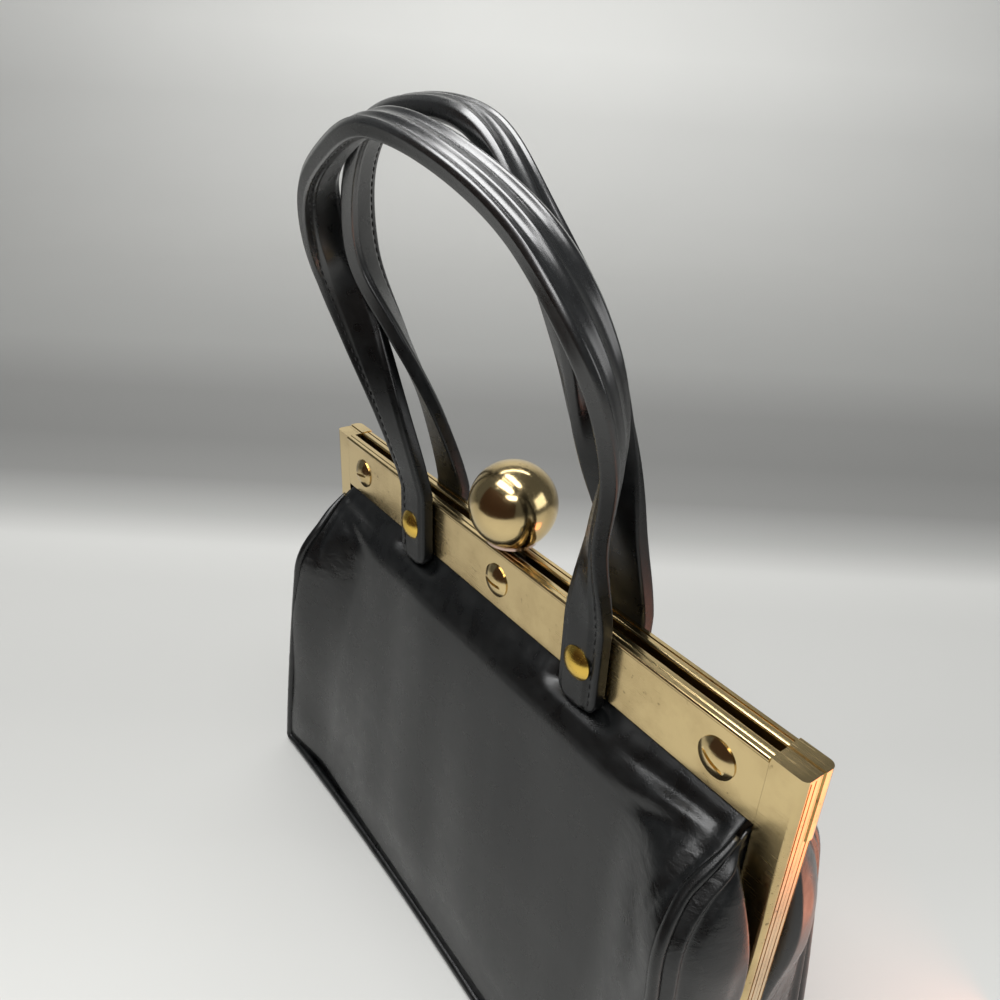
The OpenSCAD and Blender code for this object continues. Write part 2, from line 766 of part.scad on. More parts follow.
// Rivet pins on which the two halves turn
module hinge_pins() {
    inner_x = inner_tab_x - tab_gap;
    outer_x = outer_tab_x + tab_t + tab_gap;
    color(brass) both_sides() {
        along_x(inner_x - eps, 0, hinge_z) cylinder(r = hinge_pin_r, h = outer_x - inner_x + 2 * eps);
        along_x(inner_x - hinge_head_t, 0, hinge_z) cylinder(d = hinge_head_d, h = hinge_head_t);
        along_x(outer_x, 0, hinge_z) cylinder(d = hinge_head_d, h = hinge_head_t);
    }
}

/* Clasp */

// Catch in the front half: a flange behind the middle screw, a foot and an upright tongue
module clasp_catch() {
    flange_y = -wall_inner_y + fit;
    color(steel) difference() {
        union() {
            translate([-catch_w / 2, flange_y, flange_bottom])
                cube([catch_w, bracket_t, catch_foot_z + bracket_t - flange_bottom]);
            translate([-catch_w / 2, flange_y, catch_foot_z])
                cube([catch_w, catch_y + bracket_t - flange_y, bracket_t]);
            translate([-catch_w / 2, catch_y, catch_foot_z])
                cube([catch_w, bracket_t, lip_bottom - catch_clear - catch_foot_z]);
        }
        along_y(0, flange_y - over, fastener_z) cylinder(r = shank_hole_r, h = bracket_t + 2 * over);
    }
}

// Bracket in the rear half: a flange behind the middle screw and two ears that hold the pin
module clasp_bracket() {
    top = clasp_z + ear_r;
    color(steel) difference() {
        union() {
            translate([-ear_x - bracket_t, bracket_y - bracket_t, flange_bottom])
                cube([2 * (ear_x + bracket_t), bracket_t, top - flange_bottom]);
            both_sides() translate([ear_x, 0, clasp_z]) {
                along_x(0, clasp_back, 0) cylinder(r = ear_r, h = bracket_t);
                translate([0, clasp_back, -ear_r])
                    cube([bracket_t, bracket_y - bracket_t / 2 - clasp_back, 2 * ear_r]);
            }
        }
        along_x(-half_l, clasp_back, clasp_z) cylinder(r = clasp_bore_r, h = frame_l);
        along_y(0, 0, fastener_z) cylinder(r = shank_hole_r, h = half_t);
    }
}

module clasp_pivot_pin() {
    color(steel) along_x(-clasp_pin_l / 2, clasp_back, clasp_z) cylinder(r = clasp_pin_r, h = clasp_pin_l);
}

// Double torsion spring round the pin: its bail lies on the arm and its tails on the bracket
module clasp_spring() {
    w = spring_wire;
    bail_y = -1.1;
    bail_z = arm_t / 2 + fit;
    // Legs and tails run into the coils half a wire before and behind their crowns
    join = w;
    tail_top = -clasp_bore_r + w / 8;
    bracket_face = bracket_y - bracket_t - fit;
    color(steel) translate([0, 0, clasp_z]) union() {
        both_sides() {
            difference() {
                along_x(spring_x, clasp_back, 0) cylinder(r = spring_r, h = spring_l);
                along_x(spring_x - over, clasp_back, 0)
                    cylinder(r = clasp_bore_r, h = spring_l + 2 * over);
            }
            translate([spring_x + w / 2, bail_y, bail_z]) cube([w, clasp_back - join - bail_y, w]);
            translate([spring_x + spring_l - 1.5 * w, clasp_back + join, tail_top - w])
                cube([w, bracket_face - clasp_back - join, w]);
        }
        translate([-spring_x - w / 2 - eps, bail_y, bail_z]) cube([2 * spring_x + w + 2 * eps, w, w]);
    }
}

// Lever: barrel, stem up to the ball, peg, and an arm with a lip over the catch
module clasp_lever() {
    arm_z = clasp_z - arm_t / 2;
    color(brass) difference() {
        union() {
            along_x(-barrel_l / 2, clasp_back, clasp_z) cylinder(r = barrel_r, h = barrel_l);
            translate([-lever_w / 2, -stem_t / 2, arm_z]) cube([lever_w, stem_t, stem_top - arm_z]);
            translate([-lever_w / 2, lip_front_y, arm_z]) cube([lever_w, clasp_back - lip_front_y, arm_t]);
            translate([-lever_w / 2, lip_front_y, lip_bottom]) cube([lever_w, lip_t, lip_h + eps]);
            translate([0, 0, stem_top - eps])
                cylinder(d = peg_d, h = ball_z - ball_r + peg_depth - stem_top);
        }
        along_x(-lever_w, clasp_back, clasp_z) cylinder(r = clasp_bore_r, h = 2 * lever_w);
    }
}

// Spherical cup between the stem and the ball
module clasp_collar() {
    hole_r = peg_d / 2 + pin_clear;
    color(rose_silver) translate([0, 0, ball_z]) rotate_extrude($fn = 96) intersection() {
        difference() {
            circle(collar_out_r, $fn = 160);
            circle(collar_in_r, $fn = 160);
        }
        translate([hole_r, -collar_out_r - over]) square([collar_d / 2 - hole_r, collar_out_r]);
    }
}

module clasp_ball() {
    color(brass) difference() {
        translate([0, 0, ball_z]) sphere(r = ball_r, $fn = 96);
        translate([0, 0, ball_z - ball_r - over])
            cylinder(d = peg_d + 2 * pin_clear, h = peg_depth + over + 0.2);
    }
}

/* Handles */

arm_steps = 13;
arch_steps = 22;
half_turn = 180;
quarter_turn = 90;
tilt_share = 0.6;

// Half of an arch as [distance from the middle, height above the bend line]
function rise_share(h) = smooth((h - arm_from) / (arch_mid_h - arm_from));
function arch_point(a, w, top) =
    [w * sign(cos(a)) * pow(abs(cos(a)), 2 / arch_square),
     arch_mid_h + (top - arch_mid_h) * pow(abs(sin(a)), 2 / arch_square)];
function right_arm(w) = [for (i = [0:arm_steps - 1])
    let (h = mix(bend_gap, arch_mid_h, i / arm_steps)) [mix(fastener_pitch, w, rise_share(h)), h]];
function left_arm(w) = [for (i = [arm_steps - 1:-1:0]) [-right_arm(w)[i][0], right_arm(w)[i][1]]];
function arch(w, top) = [for (i = [0:arch_steps]) arch_point(half_turn * i / arch_steps, w, top)];
function outline(w, top) = concat(right_arm(w), arch(w, top), left_arm(w));

// Handle's middle line, foot to foot, leaning forward and sagging sideways from its bend line
function handle_line(w, top, foot_y, lean, curve, sway, tilt) = [for (p = outline(w, top))
    [p[0] - sway * rise_share(p[1]),
     foot_y - lean * p[1] - curve * p[1] * p[1],
     bend_z + p[1] - tilt * p[0] * rise_share(p[1])]];

function strap_width(h) = mix(strap_w, grip_w, smooth((h - taper_from) / taper_run));
function strap_thickness(h) = mix(bend_t, strap_t, smooth((h - bend_gap) / 5));

// Rounded section, w wide and t thick
function strap_section(w, t) = let (a = w / 2, b = t / 2, r = min(round_r, b * 0.7))
    [[a, b - r], [a, -b + r], [a - r, -b], [0, -b], [-a + r, -b], [-a, -b + r],
     [-a, b - r], [-a + r, b], [0, b], [a - r, b]];

// A strap that leaves its foot flat against the plate, turns a quarter twist and arches over.
// side is -1 where the outer edge turns to the front and 1 where it turns to the rear.
module handle(line, top, slope, twist_from, twist_run, grip_tilt, side) {
    last = len(line) - 1;
    facing = unit([0, -1, -slope]);
    tilt_from = arch_mid_h * tilt_share;
    loft([for (i = [0:last])
        let (p = line[i], h = p[2] - bend_z,
             t = unit(line[min(i + 1, last)] - line[max(i - 1, 0)]),
             out = unit(cross(t, facing)),
             flat = cross(out, t),
             turn = quarter_turn * smooth((h - twist_from) / twist_run)
                 + grip_tilt * smooth((h - tilt_from) / (top - tilt_from)),
             wide = out * cos(turn) - side * flat * sin(turn),
             thick = cross(wide, t))
        [for (q = strap_section(strap_width(h), strap_thickness(h))) p + q[0] * wide + q[1] * thick]]);
}

module front_handle() {
    line = handle_line(front_arch_w, front_arch_h, -strap_y, front_lean, front_lean_curve,
        front_sway, front_arch_tilt);
    color(black_leather) handle(line, front_arch_h, front_lean + front_lean_curve * front_arch_h,
        front_twist_from, front_twist_run, front_grip_tilt, -1);
}

module rear_handle() {
    line = handle_line(rear_arch_w, rear_arch_h, strap_y, rear_lean, rear_lean_curve,
        rear_sway, rear_arch_tilt);
    color(black_leather) handle(line, rear_arch_h, rear_lean + rear_lean_curve * rear_arch_h,
        rear_twist_from, rear_twist_run, rear_grip_tilt, 1);
}

base_panel();
base_board();
front_panel();
rear_panel();
left_gusset();
right_gusset();
front_piping();
rear_piping();
lining();
inner_pocket();
hinge_pins();
front_channel();
front_plate();
front_plate_screws();
front_handle_rivets();
front_handle_ends();
clasp_catch();
rear_channel();
rear_plate();
rear_plate_screws();
rear_handle_rivets();
rear_handle_ends();
rear_corner_sleeves();
clasp_bracket();
clasp_pivot_pin();
clasp_spring();
clasp_lever();
clasp_collar();
clasp_ball();
front_handle();
rear_handle();
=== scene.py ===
"""Framed leather handbag with a ball clasp: leather, handles, lining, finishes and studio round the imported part."""

import bmesh
import bpy
import math
from mathutils import Matrix, Vector, noise


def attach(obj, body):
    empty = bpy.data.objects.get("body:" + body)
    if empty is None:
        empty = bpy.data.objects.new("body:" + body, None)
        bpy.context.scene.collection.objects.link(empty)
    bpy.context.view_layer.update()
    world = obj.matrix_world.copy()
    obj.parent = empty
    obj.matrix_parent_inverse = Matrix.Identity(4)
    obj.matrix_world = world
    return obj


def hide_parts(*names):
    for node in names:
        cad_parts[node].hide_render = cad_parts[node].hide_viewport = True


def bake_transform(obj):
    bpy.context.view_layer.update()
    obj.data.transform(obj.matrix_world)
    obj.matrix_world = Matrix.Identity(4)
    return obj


bl_info = {
    "name": "Framed handbag",
    "version": (1, 0, 0),
    "blender": (4, 5, 0),
    "location": "View3D > Sidebar > Handbag",
    "description": "Dresses the packed handbag with leather, stitching, brass and a studio",
    "category": "Object",
}

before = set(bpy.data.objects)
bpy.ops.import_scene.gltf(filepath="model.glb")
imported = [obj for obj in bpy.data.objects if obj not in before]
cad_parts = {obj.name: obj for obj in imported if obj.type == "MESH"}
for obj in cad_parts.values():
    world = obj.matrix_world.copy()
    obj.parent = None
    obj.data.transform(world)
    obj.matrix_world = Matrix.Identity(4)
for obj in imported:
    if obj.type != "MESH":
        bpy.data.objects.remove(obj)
MM = 0.001


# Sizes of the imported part, in millimetres, as its source has them

HALF_T = 5.6
NECK_X = 110.8
BASE_X = 122.5
BASE_D = 84.0
BASE_DISH = 3.5
SHOULDER_D = 65.5
SHOULDER_Z = 114.0
WAIST_Z = 125.0
SIDE_FULLNESS = 1.6
ROLL_POWER = 1.35
LIP_Y = 5.0
LIP_Z = 139.7
TUCK_Y = 3.15
TUCK_Z = 140.7
TUCK_X = 113.4
LEATHER_T = 1.0
PIPING_R = 1.9
PIPING_Z = 2.2
PIPING_CORNER = 2.0
EDGE_GAP = 1.95
PANEL_BOTTOM = 4.15
PITCH = 50.0
BEND_Z = 165.5
STRAP_T = 5.5
STRAP_W = 17.5
TONGUE_Z = 135.2

# Sizes of the soft pieces that only this script has, in millimetres

# Place of the roll under the lip, between the corners, and how far the leather bows out below it
ROLL_Y = 14.5
ROLL_Z = 131.0
BOW = 2.5

# How far the seams run out to the legs under the frame, and from where
RUN_OUT = 2.2
RUN_OUT_Z = 122.0

# How far the sides puff out in front of the legs, and where the most
PUFF = 12.0
PUFF_Z = 103.0

# Reach of the softening at the shoulder and at the roll
SHOULDER_REACH = 9.0
ROLL_REACH = 5.0

# Ends of the leather in the channel and of the sides, and depth of the fold behind the legs
PANEL_TOP = 148.0
SIDE_BOTTOM = 1.1
SIDE_TOP = 138.0
PLEAT_DEPTH = 36.0

# Lining, its distance behind the leather's middle, and the patch pocket
LINING_T = 0.3
LINING_GAP = 3.2
LINING_BOTTOM = 3.9
LINING_TOP = 141.8
POCKET_W = 110.0
POCKET_H = 60.0
POCKET_Z = 35.0

# Widths of a strap in its arms and in its grip
ARM_W = 16.6
GRIP_W = 11.6

# Distance between the points along a strap, place of its stitches across it and their first distance from its end
STRAP_STEP = 1.7
STITCH_AT = 0.33
STITCH_FROM = 4.5

# Middle lines of the handles from the right foot to the left one, each point with the strap's turn in degrees
HANDLES = {
    "front": dict(side=-1, facing=0.2526, line=(
        (50, -8.35, 165.5, 0), (53.1, -10.9, 196.8, 40), (61.4, -16.9, 226, 53), (60.8, -25.6, 252.4, 65),
        (45, -32.9, 276.4, 90), (18.2, -38.6, 290.7, 91), (-11.9, -41.3, 295.8, 91), (-40.3, -39.2, 288.3, 95),
        (-66.8, -34.1, 273.6, 93), (-81.1, -24.2, 249.6, 80), (-74, -16.6, 221.9, 46), (-58.6, -13.3, 194.6, 14),
        (-50, -8.35, 165.5, 0))),
    "rear": dict(side=1, facing=0.27, line=(
        (50, 8.35, 165.5, 0), (48.7, 2.1, 194.6, 4), (44.8, -4.8, 222.9, 48), (42.3, -13.1, 249.6, 83),
        (32.4, -21.2, 275.1, 98), (13.6, -25.2, 296.1, 108), (-14.4, -27.1, 299.9, 98), (-42.7, -25.8, 293.3, 84),
        (-63, -21.9, 274.2, 68), (-71.8, -15.8, 248.6, 53), (-65.7, -6.6, 222.4, 33), (-54, 1.1, 195, 13),
        (-50, 8.35, 165.5, 0))),
}

# Height where the fold behind the legs starts, and height at which it reaches its full depth
FOLLOW_FROM = 50.0
FOLLOW_TO = 138.5


def smooth(t):
    t = min(max(t, 0.0), 1.0)
    return t * t * (3 - 2 * t)


def mix(a, b, t):
    return a + (b - a) * t


def hump(x, width):
    """Bell curve, 1 at x = 0."""
    return math.exp(-((x / width) ** 2))


def softened(curve, z, reach):
    """Mean of a curve over a stretch of heights, which rounds its corners."""
    return sum(curve(z + s * reach) for s in (-1, -0.5, 0, 0.5, 1)) / 5


# Shape of the bag: the curves of the part's source, with its leather hung taut and its corners softened


def wall_y(z):
    return mix(BASE_D, SHOULDER_D, z / SHOULDER_Z) / 2


def roll(z):
    return min(max((z - SHOULDER_Z) / (LIP_Z - SHOULDER_Z), 0), 1) ** ROLL_POWER


def edge_y(z):
    """Half depth at the seams, with the fold at the shoulder softened."""
    reach = SHOULDER_REACH * min(1.0, max(LIP_Z - z, 0) / 12)
    rolled = softened(lambda at: mix(wall_y(at), LIP_Y, roll(at)), z, reach)
    return mix(rolled, TUCK_Y, min(max(z - LIP_Z, 0) / (TUCK_Z - LIP_Z), 1))


def edge_x(z):
    """Half length at the seams, which run out to the legs just under the frame."""
    spread = 1 - min(max(z, 0) / WAIST_Z, 1) ** SIDE_FULLNESS
    return mix(NECK_X, BASE_X, spread) + RUN_OUT * smooth((z - RUN_OUT_Z) / 14)


def across(x, z):
    return max(1 - (x / edge_x(z)) ** 2, 0)


def taut(z):
    """Half depth of the leather between its corners, where it hangs taut from a small roll under the lip."""
    if z > ROLL_Z:
        return mix(ROLL_Y, LIP_Y, (z - ROLL_Z) / (LIP_Z - ROLL_Z))
    return mix(BASE_D / 2 - BASE_DISH, ROLL_Y, z / ROLL_Z) + BOW * math.sin(math.pi * z / ROLL_Z)


def panel_y(x, z):
    """Half depth of the front or rear leather, which flares out from the taut middle to its corners."""
    reach = ROLL_REACH * min(1.0, max(LIP_Z - z, 0) / 7)
    middle = edge_y(z) if z > LIP_Z else softened(taut, z, reach)
    return mix(edge_y(z), middle, smooth(across(x, z) / 0.5))


def gusset_x(y, z):
    """The side puffs out in front of the legs and tucks in behind them."""
    y, seam = abs(y), edge_y(z)
    share = min(1.0, max(seam - y, 0) / max(seam - 12, 4))
    puffed = edge_x(z) + PUFF * hump(z - PUFF_Z, 38) * math.sin(math.pi / 2 * share) * smooth((139 - z) / 16)
    tucked = (1 - smooth((y - 6.9) / 4.6)) * smooth((z - 28) / 20)
    return mix(puffed, TUCK_X, tucked)


# Mesh helpers


def shaped_grid(columns, rows, place):
    """Grid whose points go where place(u, v) says, with u and v from 0 to 1 and lengths in millimetres."""
    bm = bmesh.new()
    bmesh.ops.create_grid(bm, x_segments=columns, y_segments=rows, size=0.5)
    uv = bm.loops.layers.uv.new("UVMap")
    shares = {v: (v.co.x + 0.5, v.co.y + 0.5) for v in bm.verts}
    for face in bm.faces:
        for loop in face.loops:
            loop[uv].uv = shares[loop.vert]
    for v, (a, b) in shares.items():
        v.co = Vector(place(a, b)) * MM
    return bm


def lofted_tube(rings):
    """Closed tube through rings of points, with filled ends."""
    around, along = len(rings[0]), len(rings) - 1

    def place(u, v):
        return rings[round(v * along)][round(u * around) % around]

    bm = shaped_grid(around, along, place)
    bmesh.ops.remove_doubles(bm, verts=bm.verts, dist=1e-7)
    rim = [e for e in bm.edges if e.is_boundary]
    bmesh.ops.holes_fill(bm, edges=rim)
    bmesh.ops.recalc_face_normals(bm, faces=bm.faces)
    return bm


def mirrored(bm, axis):
    """Turns a mesh into its mirror image across the seam plane ("Y") or the middle ("X")."""
    bmesh.ops.scale(bm, vec=(-1, 1, 1) if axis == "X" else (1, -1, 1), verts=bm.verts)
    bmesh.ops.reverse_faces(bm, faces=bm.faces)
    return bm


def put(bm, half, side=1):
    """Mirrors a mesh of the front right over to its own side and half of the bag."""
    if side < 0:
        mirrored(bm, "X")
    if half == "rear_frame":
        mirrored(bm, "Y")


def finished_piece(name, bm, materials, body=None):
    """Object at the origin from a mesh that is already in place."""
    mesh = bpy.data.meshes.new(name)
    bm.to_mesh(mesh)
    bm.free()
    for m in materials if isinstance(materials, (list, tuple)) else [materials]:
        mesh.materials.append(m)
    for polygon in mesh.polygons:
        polygon.use_smooth = True
    piece = bpy.data.objects.new(name, mesh)
    bpy.context.scene.collection.objects.link(piece)
    if body:
        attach(piece, body)
    return piece


def thickened(piece, thickness, inner_slot=0):
    """Gives a sheet its thickness behind the side that is seen."""
    solid = piece.modifiers.new("Thickness", "SOLIDIFY")
    solid.thickness = thickness * MM
    solid.offset = -1
    solid.use_rim = True
    solid.material_offset = inner_slot
    solid.material_offset_rim = 0
    return piece


def follow_half(piece):
    """Bakes the piece's placement into its mesh."""
    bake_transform(piece)


# Finishes


def feed(tree, socket, value):
    """Joins a socket to another one, or gives it its constant."""
    if isinstance(value, bpy.types.NodeSocket):
        tree.links.new(value, socket)
    else:
        socket.default_value = value


class Nodes:
    """Short way to build a node tree: add() a node with its values, and join sockets by passing them."""

    def __init__(self, tree):
        self.tree = tree
        self.column = 0

    def add(self, kind, _out=0, _settings=None, **values):
        node = self.tree.nodes.new(kind)
        node.location = (self.column * 180, 0)
        self.column += 1
        for key, value in (_settings or {}).items():
            setattr(node, key, value)
        for key, value in values.items():
            feed(self.tree, node.inputs[int(key[1:]) if key[0] == "_" else key.replace("_", " ")], value)
        return node.outputs[_out]

    def math(self, operation, a, b=0.0, c=0.0):
        return self.add("ShaderNodeMath", _settings={"operation": operation}, _0=a, _1=b, _2=c)

    def ramp(self, value, low, high, to_low=0.0, to_high=1.0):
        return self.add("ShaderNodeMapRange", _0=value, _1=low, _2=high, _3=to_low, _4=to_high)

    def blend_colours(self, factor, a, b):
        node = self.tree.nodes.new("ShaderNodeMix")
        node.data_type = "RGBA"
        node.location = (self.column * 180, -200)
        self.column += 1
        for index, value in ((0, factor), (6, a), (7, b)):
            feed(self.tree, node.inputs[index], value)
        return node.outputs[2]


def effect_group(name, inputs, outputs, build):
    """Node group with named inputs and outputs, filled by build(nodes, inputs) which returns the outputs."""
    tree = bpy.data.node_groups.new(name, "ShaderNodeTree")
    for label, kind, value in inputs:
        socket = tree.interface.new_socket(name=label, in_out="INPUT", socket_type=kind)
        if value is not None:
            socket.default_value = value
    for label, kind in outputs:
        tree.interface.new_socket(name=label, in_out="OUTPUT", socket_type=kind)
    entry = tree.nodes.new("NodeGroupInput")
    leave = tree.nodes.new("NodeGroupOutput")
    made = build(Nodes(tree), {s.name: s for s in entry.outputs if s.name})
    for label, value in made.items():
        tree.links.new(value, leave.inputs[label])
    return tree


def use_group(n, tree, **values):
    """Adds a node of an effect group and gives back its outputs by name."""
    node = n.tree.nodes.new("ShaderNodeGroup")
    node.node_tree = tree
    node.location = (n.column * 180, 200)
    n.column += 1
    for key, value in values.items():
        feed(n.tree, node.inputs[key.replace("_", " ")], value)
    return node.outputs


def grain_group():
    """Fine leather grain over soft unevenness."""

    def build(n, given):
        cells = n.add("ShaderNodeTexVoronoi", _settings={"feature": "DISTANCE_TO_EDGE"},
                      Vector=given["Vector"], Scale=given["Scale"])
        cell_height = n.ramp(cells, 0.0, 0.12)
        soft_scale = n.math("MULTIPLY", given["Scale"], 0.12)
        soft = n.add("ShaderNodeTexNoise", Vector=given["Vector"], Scale=soft_scale, Detail=4.0)
        soft_height = n.math("MULTIPLY", soft, 4.0)
        return {"Height": n.math("ADD", cell_height, soft_height), "Cloud": soft}

    given = [("Vector", "NodeSocketVector", None), ("Scale", "NodeSocketFloat", 900.0)]
    return effect_group("Leather grain", given, [("Height", "NodeSocketFloat"), ("Cloud", "NodeSocketFloat")],
                        build)


def hairline_group():
    """Fine scratches in three directions, as handling leaves on a polished surface."""

    def build(n, given):
        total = None
        for k, turn in enumerate((0.3, 1.25, 2.4)):
            turned = n.add("ShaderNodeMapping", Vector=given["Vector"], Rotation=(turn, 0.6 * turn, turn),
                           Scale=(1.0, 26.0, 26.0), Location=(0.013 * k, 0.02, 0.0))
            lines = n.add("ShaderNodeTexNoise", Vector=turned, Scale=given["Scale"], Detail=1.0)
            line = n.ramp(lines, 0.66, 0.74)
            total = line if total is None else n.math("MAXIMUM", total, line)
        return {"Mask": total}

    return effect_group("Hairlines", [("Vector", "NodeSocketVector", None), ("Scale", "NodeSocketFloat", 60.0)],
                        [("Mask", "NodeSocketFloat")], build)


def tarnish_group():
    """Cloudy tarnish and small dark specks on brass."""

    def build(n, given):
        cloud = n.add("ShaderNodeTexNoise", Vector=given["Vector"], Scale=given["Scale"], Detail=6.0, Roughness=0.6)
        patches = n.ramp(cloud, 0.42, 0.72)
        speck_scale = n.math("MULTIPLY", given["Scale"], 14.0)
        specks = n.add("ShaderNodeTexNoise", Vector=given["Vector"], Scale=speck_scale, Detail=2.0)
        dots = n.ramp(specks, 0.66, 0.72)
        held = n.math("MULTIPLY", dots, n.ramp(cloud, 0.45, 0.6))
        return {"Patches": patches, "Specks": held}

    return effect_group("Tarnish", [("Vector", "NodeSocketVector", None), ("Scale", "NodeSocketFloat", 45.0)],
                        [("Patches", "NodeSocketFloat"), ("Specks", "NodeSocketFloat")], build)


def new_material(name):
    """Empty material: the material, its nodes, the place on the object and its shader."""
    material = bpy.data.materials.new(name)
    material.use_nodes = True
    tree = material.node_tree
    tree.nodes.clear()
    n = Nodes(tree)
    place = n.add("ShaderNodeTexCoord", _out=3)
    shader = tree.nodes.new("ShaderNodeBsdfPrincipled")
    out = tree.nodes.new("ShaderNodeOutputMaterial")
    tree.links.new(shader.outputs[0], out.inputs[0])
    return material, n, place, shader


def bumped(n, height, strength, distance, normal=None):
    values = {"Strength": strength, "Distance": distance, "Height": height}
    if normal is not None:
        values["Normal"] = normal
    return n.add("ShaderNodeBump", **values)


def set_shader(n, shader, **values):
    for key, value in values.items():
        feed(n.tree, shader.inputs[key.replace("_", " ")], value)


def rgb(colour, factor=1.0):
    return tuple(c * factor for c in colour[:3]) + (1.0,)


def corner_mask(n, place, centre, reach):
    """1 near a point that lies on both sides of the bag, 0 beyond its reach."""
    both = n.add("ShaderNodeVectorMath", _settings={"operation": "ABSOLUTE"}, _0=place)
    gap = n.add("ShaderNodeVectorMath", _out=1, _settings={"operation": "DISTANCE"}, _0=both, _1=centre)
    return n.ramp(gap, reach, reach * 0.2)


def leather_material(name, colour, roughness, grain, scuffs, wrinkles=0.0, polish=None):
    """Smooth black leather; polish gives the heights between which handling has made it shine."""
    material, n, place, shader = new_material(name)
    grained = use_group(n, GROUPS["grain"], Vector=place, Scale=grain)
    lines = use_group(n, GROUPS["hairlines"], Vector=place, Scale=55.0)["Mask"]
    cloud = grained["Cloud"]
    worn = n.math("MULTIPLY", lines, scuffs)
    base = n.blend_colours(n.ramp(cloud, 0.35, 0.7), rgb(colour, 0.75), rgb(colour, 1.5))
    base = n.blend_colours(worn, base, rgb(colour, 4.0))
    rough = n.ramp(cloud, 0.3, 0.75, roughness * 0.8, roughness * 1.25)
    rough = n.math("ADD", rough, n.math("MULTIPLY", worn, 0.3))
    normal = bumped(n, grained["Height"], 0.12, 0.0002)
    if wrinkles:
        near = corner_mask(n, place, (0.103, 0.026, 0.122), 0.034)
        slanted = n.add("ShaderNodeMapping", Vector=place, Rotation=(0.2, 0.9, 0.4), Scale=(1.0, 1.0, 2.2))
        folds = n.add("ShaderNodeTexNoise", Vector=slanted, Scale=170.0, Detail=2.0, Distortion=0.4)
        normal = bumped(n, n.math("MULTIPLY", folds, near), wrinkles, 0.0012, normal)
    coat = 0.1
    if polish:
        height = n.add("ShaderNodeSeparateXYZ", _out=2, _0=place)
        coat = n.ramp(height, polish[0], polish[1], 0.03, 1.0)
    set_shader(n, shader, Base_Color=base, Roughness=rough, Normal=normal, IOR=1.36 if polish else 1.5,
               Coat_Weight=coat, Coat_Roughness=0.24 if polish else 0.16, Coat_IOR=1.9 if polish else 1.5)
    return material


def brass_material(name, colour, dark, roughness, patches=0.6, hairlines=0.5, dirt=None):
    material, n, place, shader = new_material(name)
    marks = use_group(n, GROUPS["tarnish"], Vector=place, Scale=42.0)
    lines = use_group(n, GROUPS["hairlines"], Vector=place, Scale=80.0)["Mask"]
    base = n.blend_colours(n.math("MULTIPLY", marks["Patches"], patches), rgb(colour), rgb(dark))
    base = n.blend_colours(n.math("MULTIPLY", marks["Specks"], 0.7), base, rgb(dark, 0.35))
    rough = n.ramp(marks["Patches"], 0.0, 1.0, roughness, roughness + 0.14)
    rough = n.math("ADD", rough, n.math("MULTIPLY", lines, 0.12 * hairlines))
    normal = bumped(n, lines, 0.05 * hairlines, 0.0001)
    if dirt:
        normal = bumped(n, n.add("ShaderNodeTexNoise", Vector=place, Scale=dirt, Detail=2.0), 0.03, 0.0005, normal)
    set_shader(n, shader, Base_Color=base, Metallic=1.0, Roughness=rough, Normal=normal)
    return material


def steel_material():
    material, n, place, shader = new_material("latch steel")
    marks = use_group(n, GROUPS["tarnish"], Vector=place, Scale=120.0)
    base = n.blend_colours(marks["Patches"], (0.42, 0.42, 0.41, 1), (0.25, 0.24, 0.22, 1))
    rough = n.ramp(marks["Patches"], 0.0, 1.0, 0.3, 0.5)
    set_shader(n, shader, Base_Color=base, Metallic=1.0, Roughness=rough)
    return material


def cloth_material(name, colour):
    """Plain woven lining with a soft sheen."""
    material, n, place, shader = new_material(name)
    warp = n.add("ShaderNodeTexWave", _settings={"bands_direction": "X"}, Vector=place, Scale=330.0, Distortion=0.4)
    weft = n.add("ShaderNodeTexWave", _settings={"bands_direction": "Z"}, Vector=place, Scale=330.0, Distortion=0.4)
    threads = n.math("MAXIMUM", warp, weft)
    cloud = n.add("ShaderNodeTexNoise", Vector=place, Scale=38.0, Detail=5.0)
    base = n.blend_colours(n.ramp(cloud, 0.3, 0.7), rgb(colour, 0.8), rgb(colour, 1.15))
    base = n.blend_colours(n.ramp(threads, 0.2, 0.9), rgb(colour, 0.6), base)
    set_shader(n, shader, Base_Color=base, Roughness=n.ramp(cloud, 0.2, 0.8, 0.75, 0.9),
               Normal=bumped(n, threads, 0.25, 0.0002), Sheen_Weight=0.3)
    return material


def board_material():
    material, n, place, shader = new_material("stiff board")
    fibres = n.add("ShaderNodeTexNoise", Vector=place, Scale=500.0, Detail=4.0)
    base = n.blend_colours(fibres, (0.2, 0.18, 0.15, 1), (0.32, 0.3, 0.26, 1))
    set_shader(n, shader, Base_Color=base, Roughness=0.9, Normal=bumped(n, fibres, 0.2, 0.0003))
    return material


def thread_material(colour):
    material, n, place, shader = new_material("stitch thread")
    twist = n.add("ShaderNodeTexWave", _settings={"bands_direction": "DIAGONAL"}, Vector=place, Scale=900.0)
    base = n.blend_colours(twist, rgb(colour, 0.6), rgb(colour, 1.4))
    set_shader(n, shader, Base_Color=base, Roughness=0.65, Normal=bumped(n, twist, 0.4, 0.0002))
    return material


GROUPS = {}
FINISH = {}


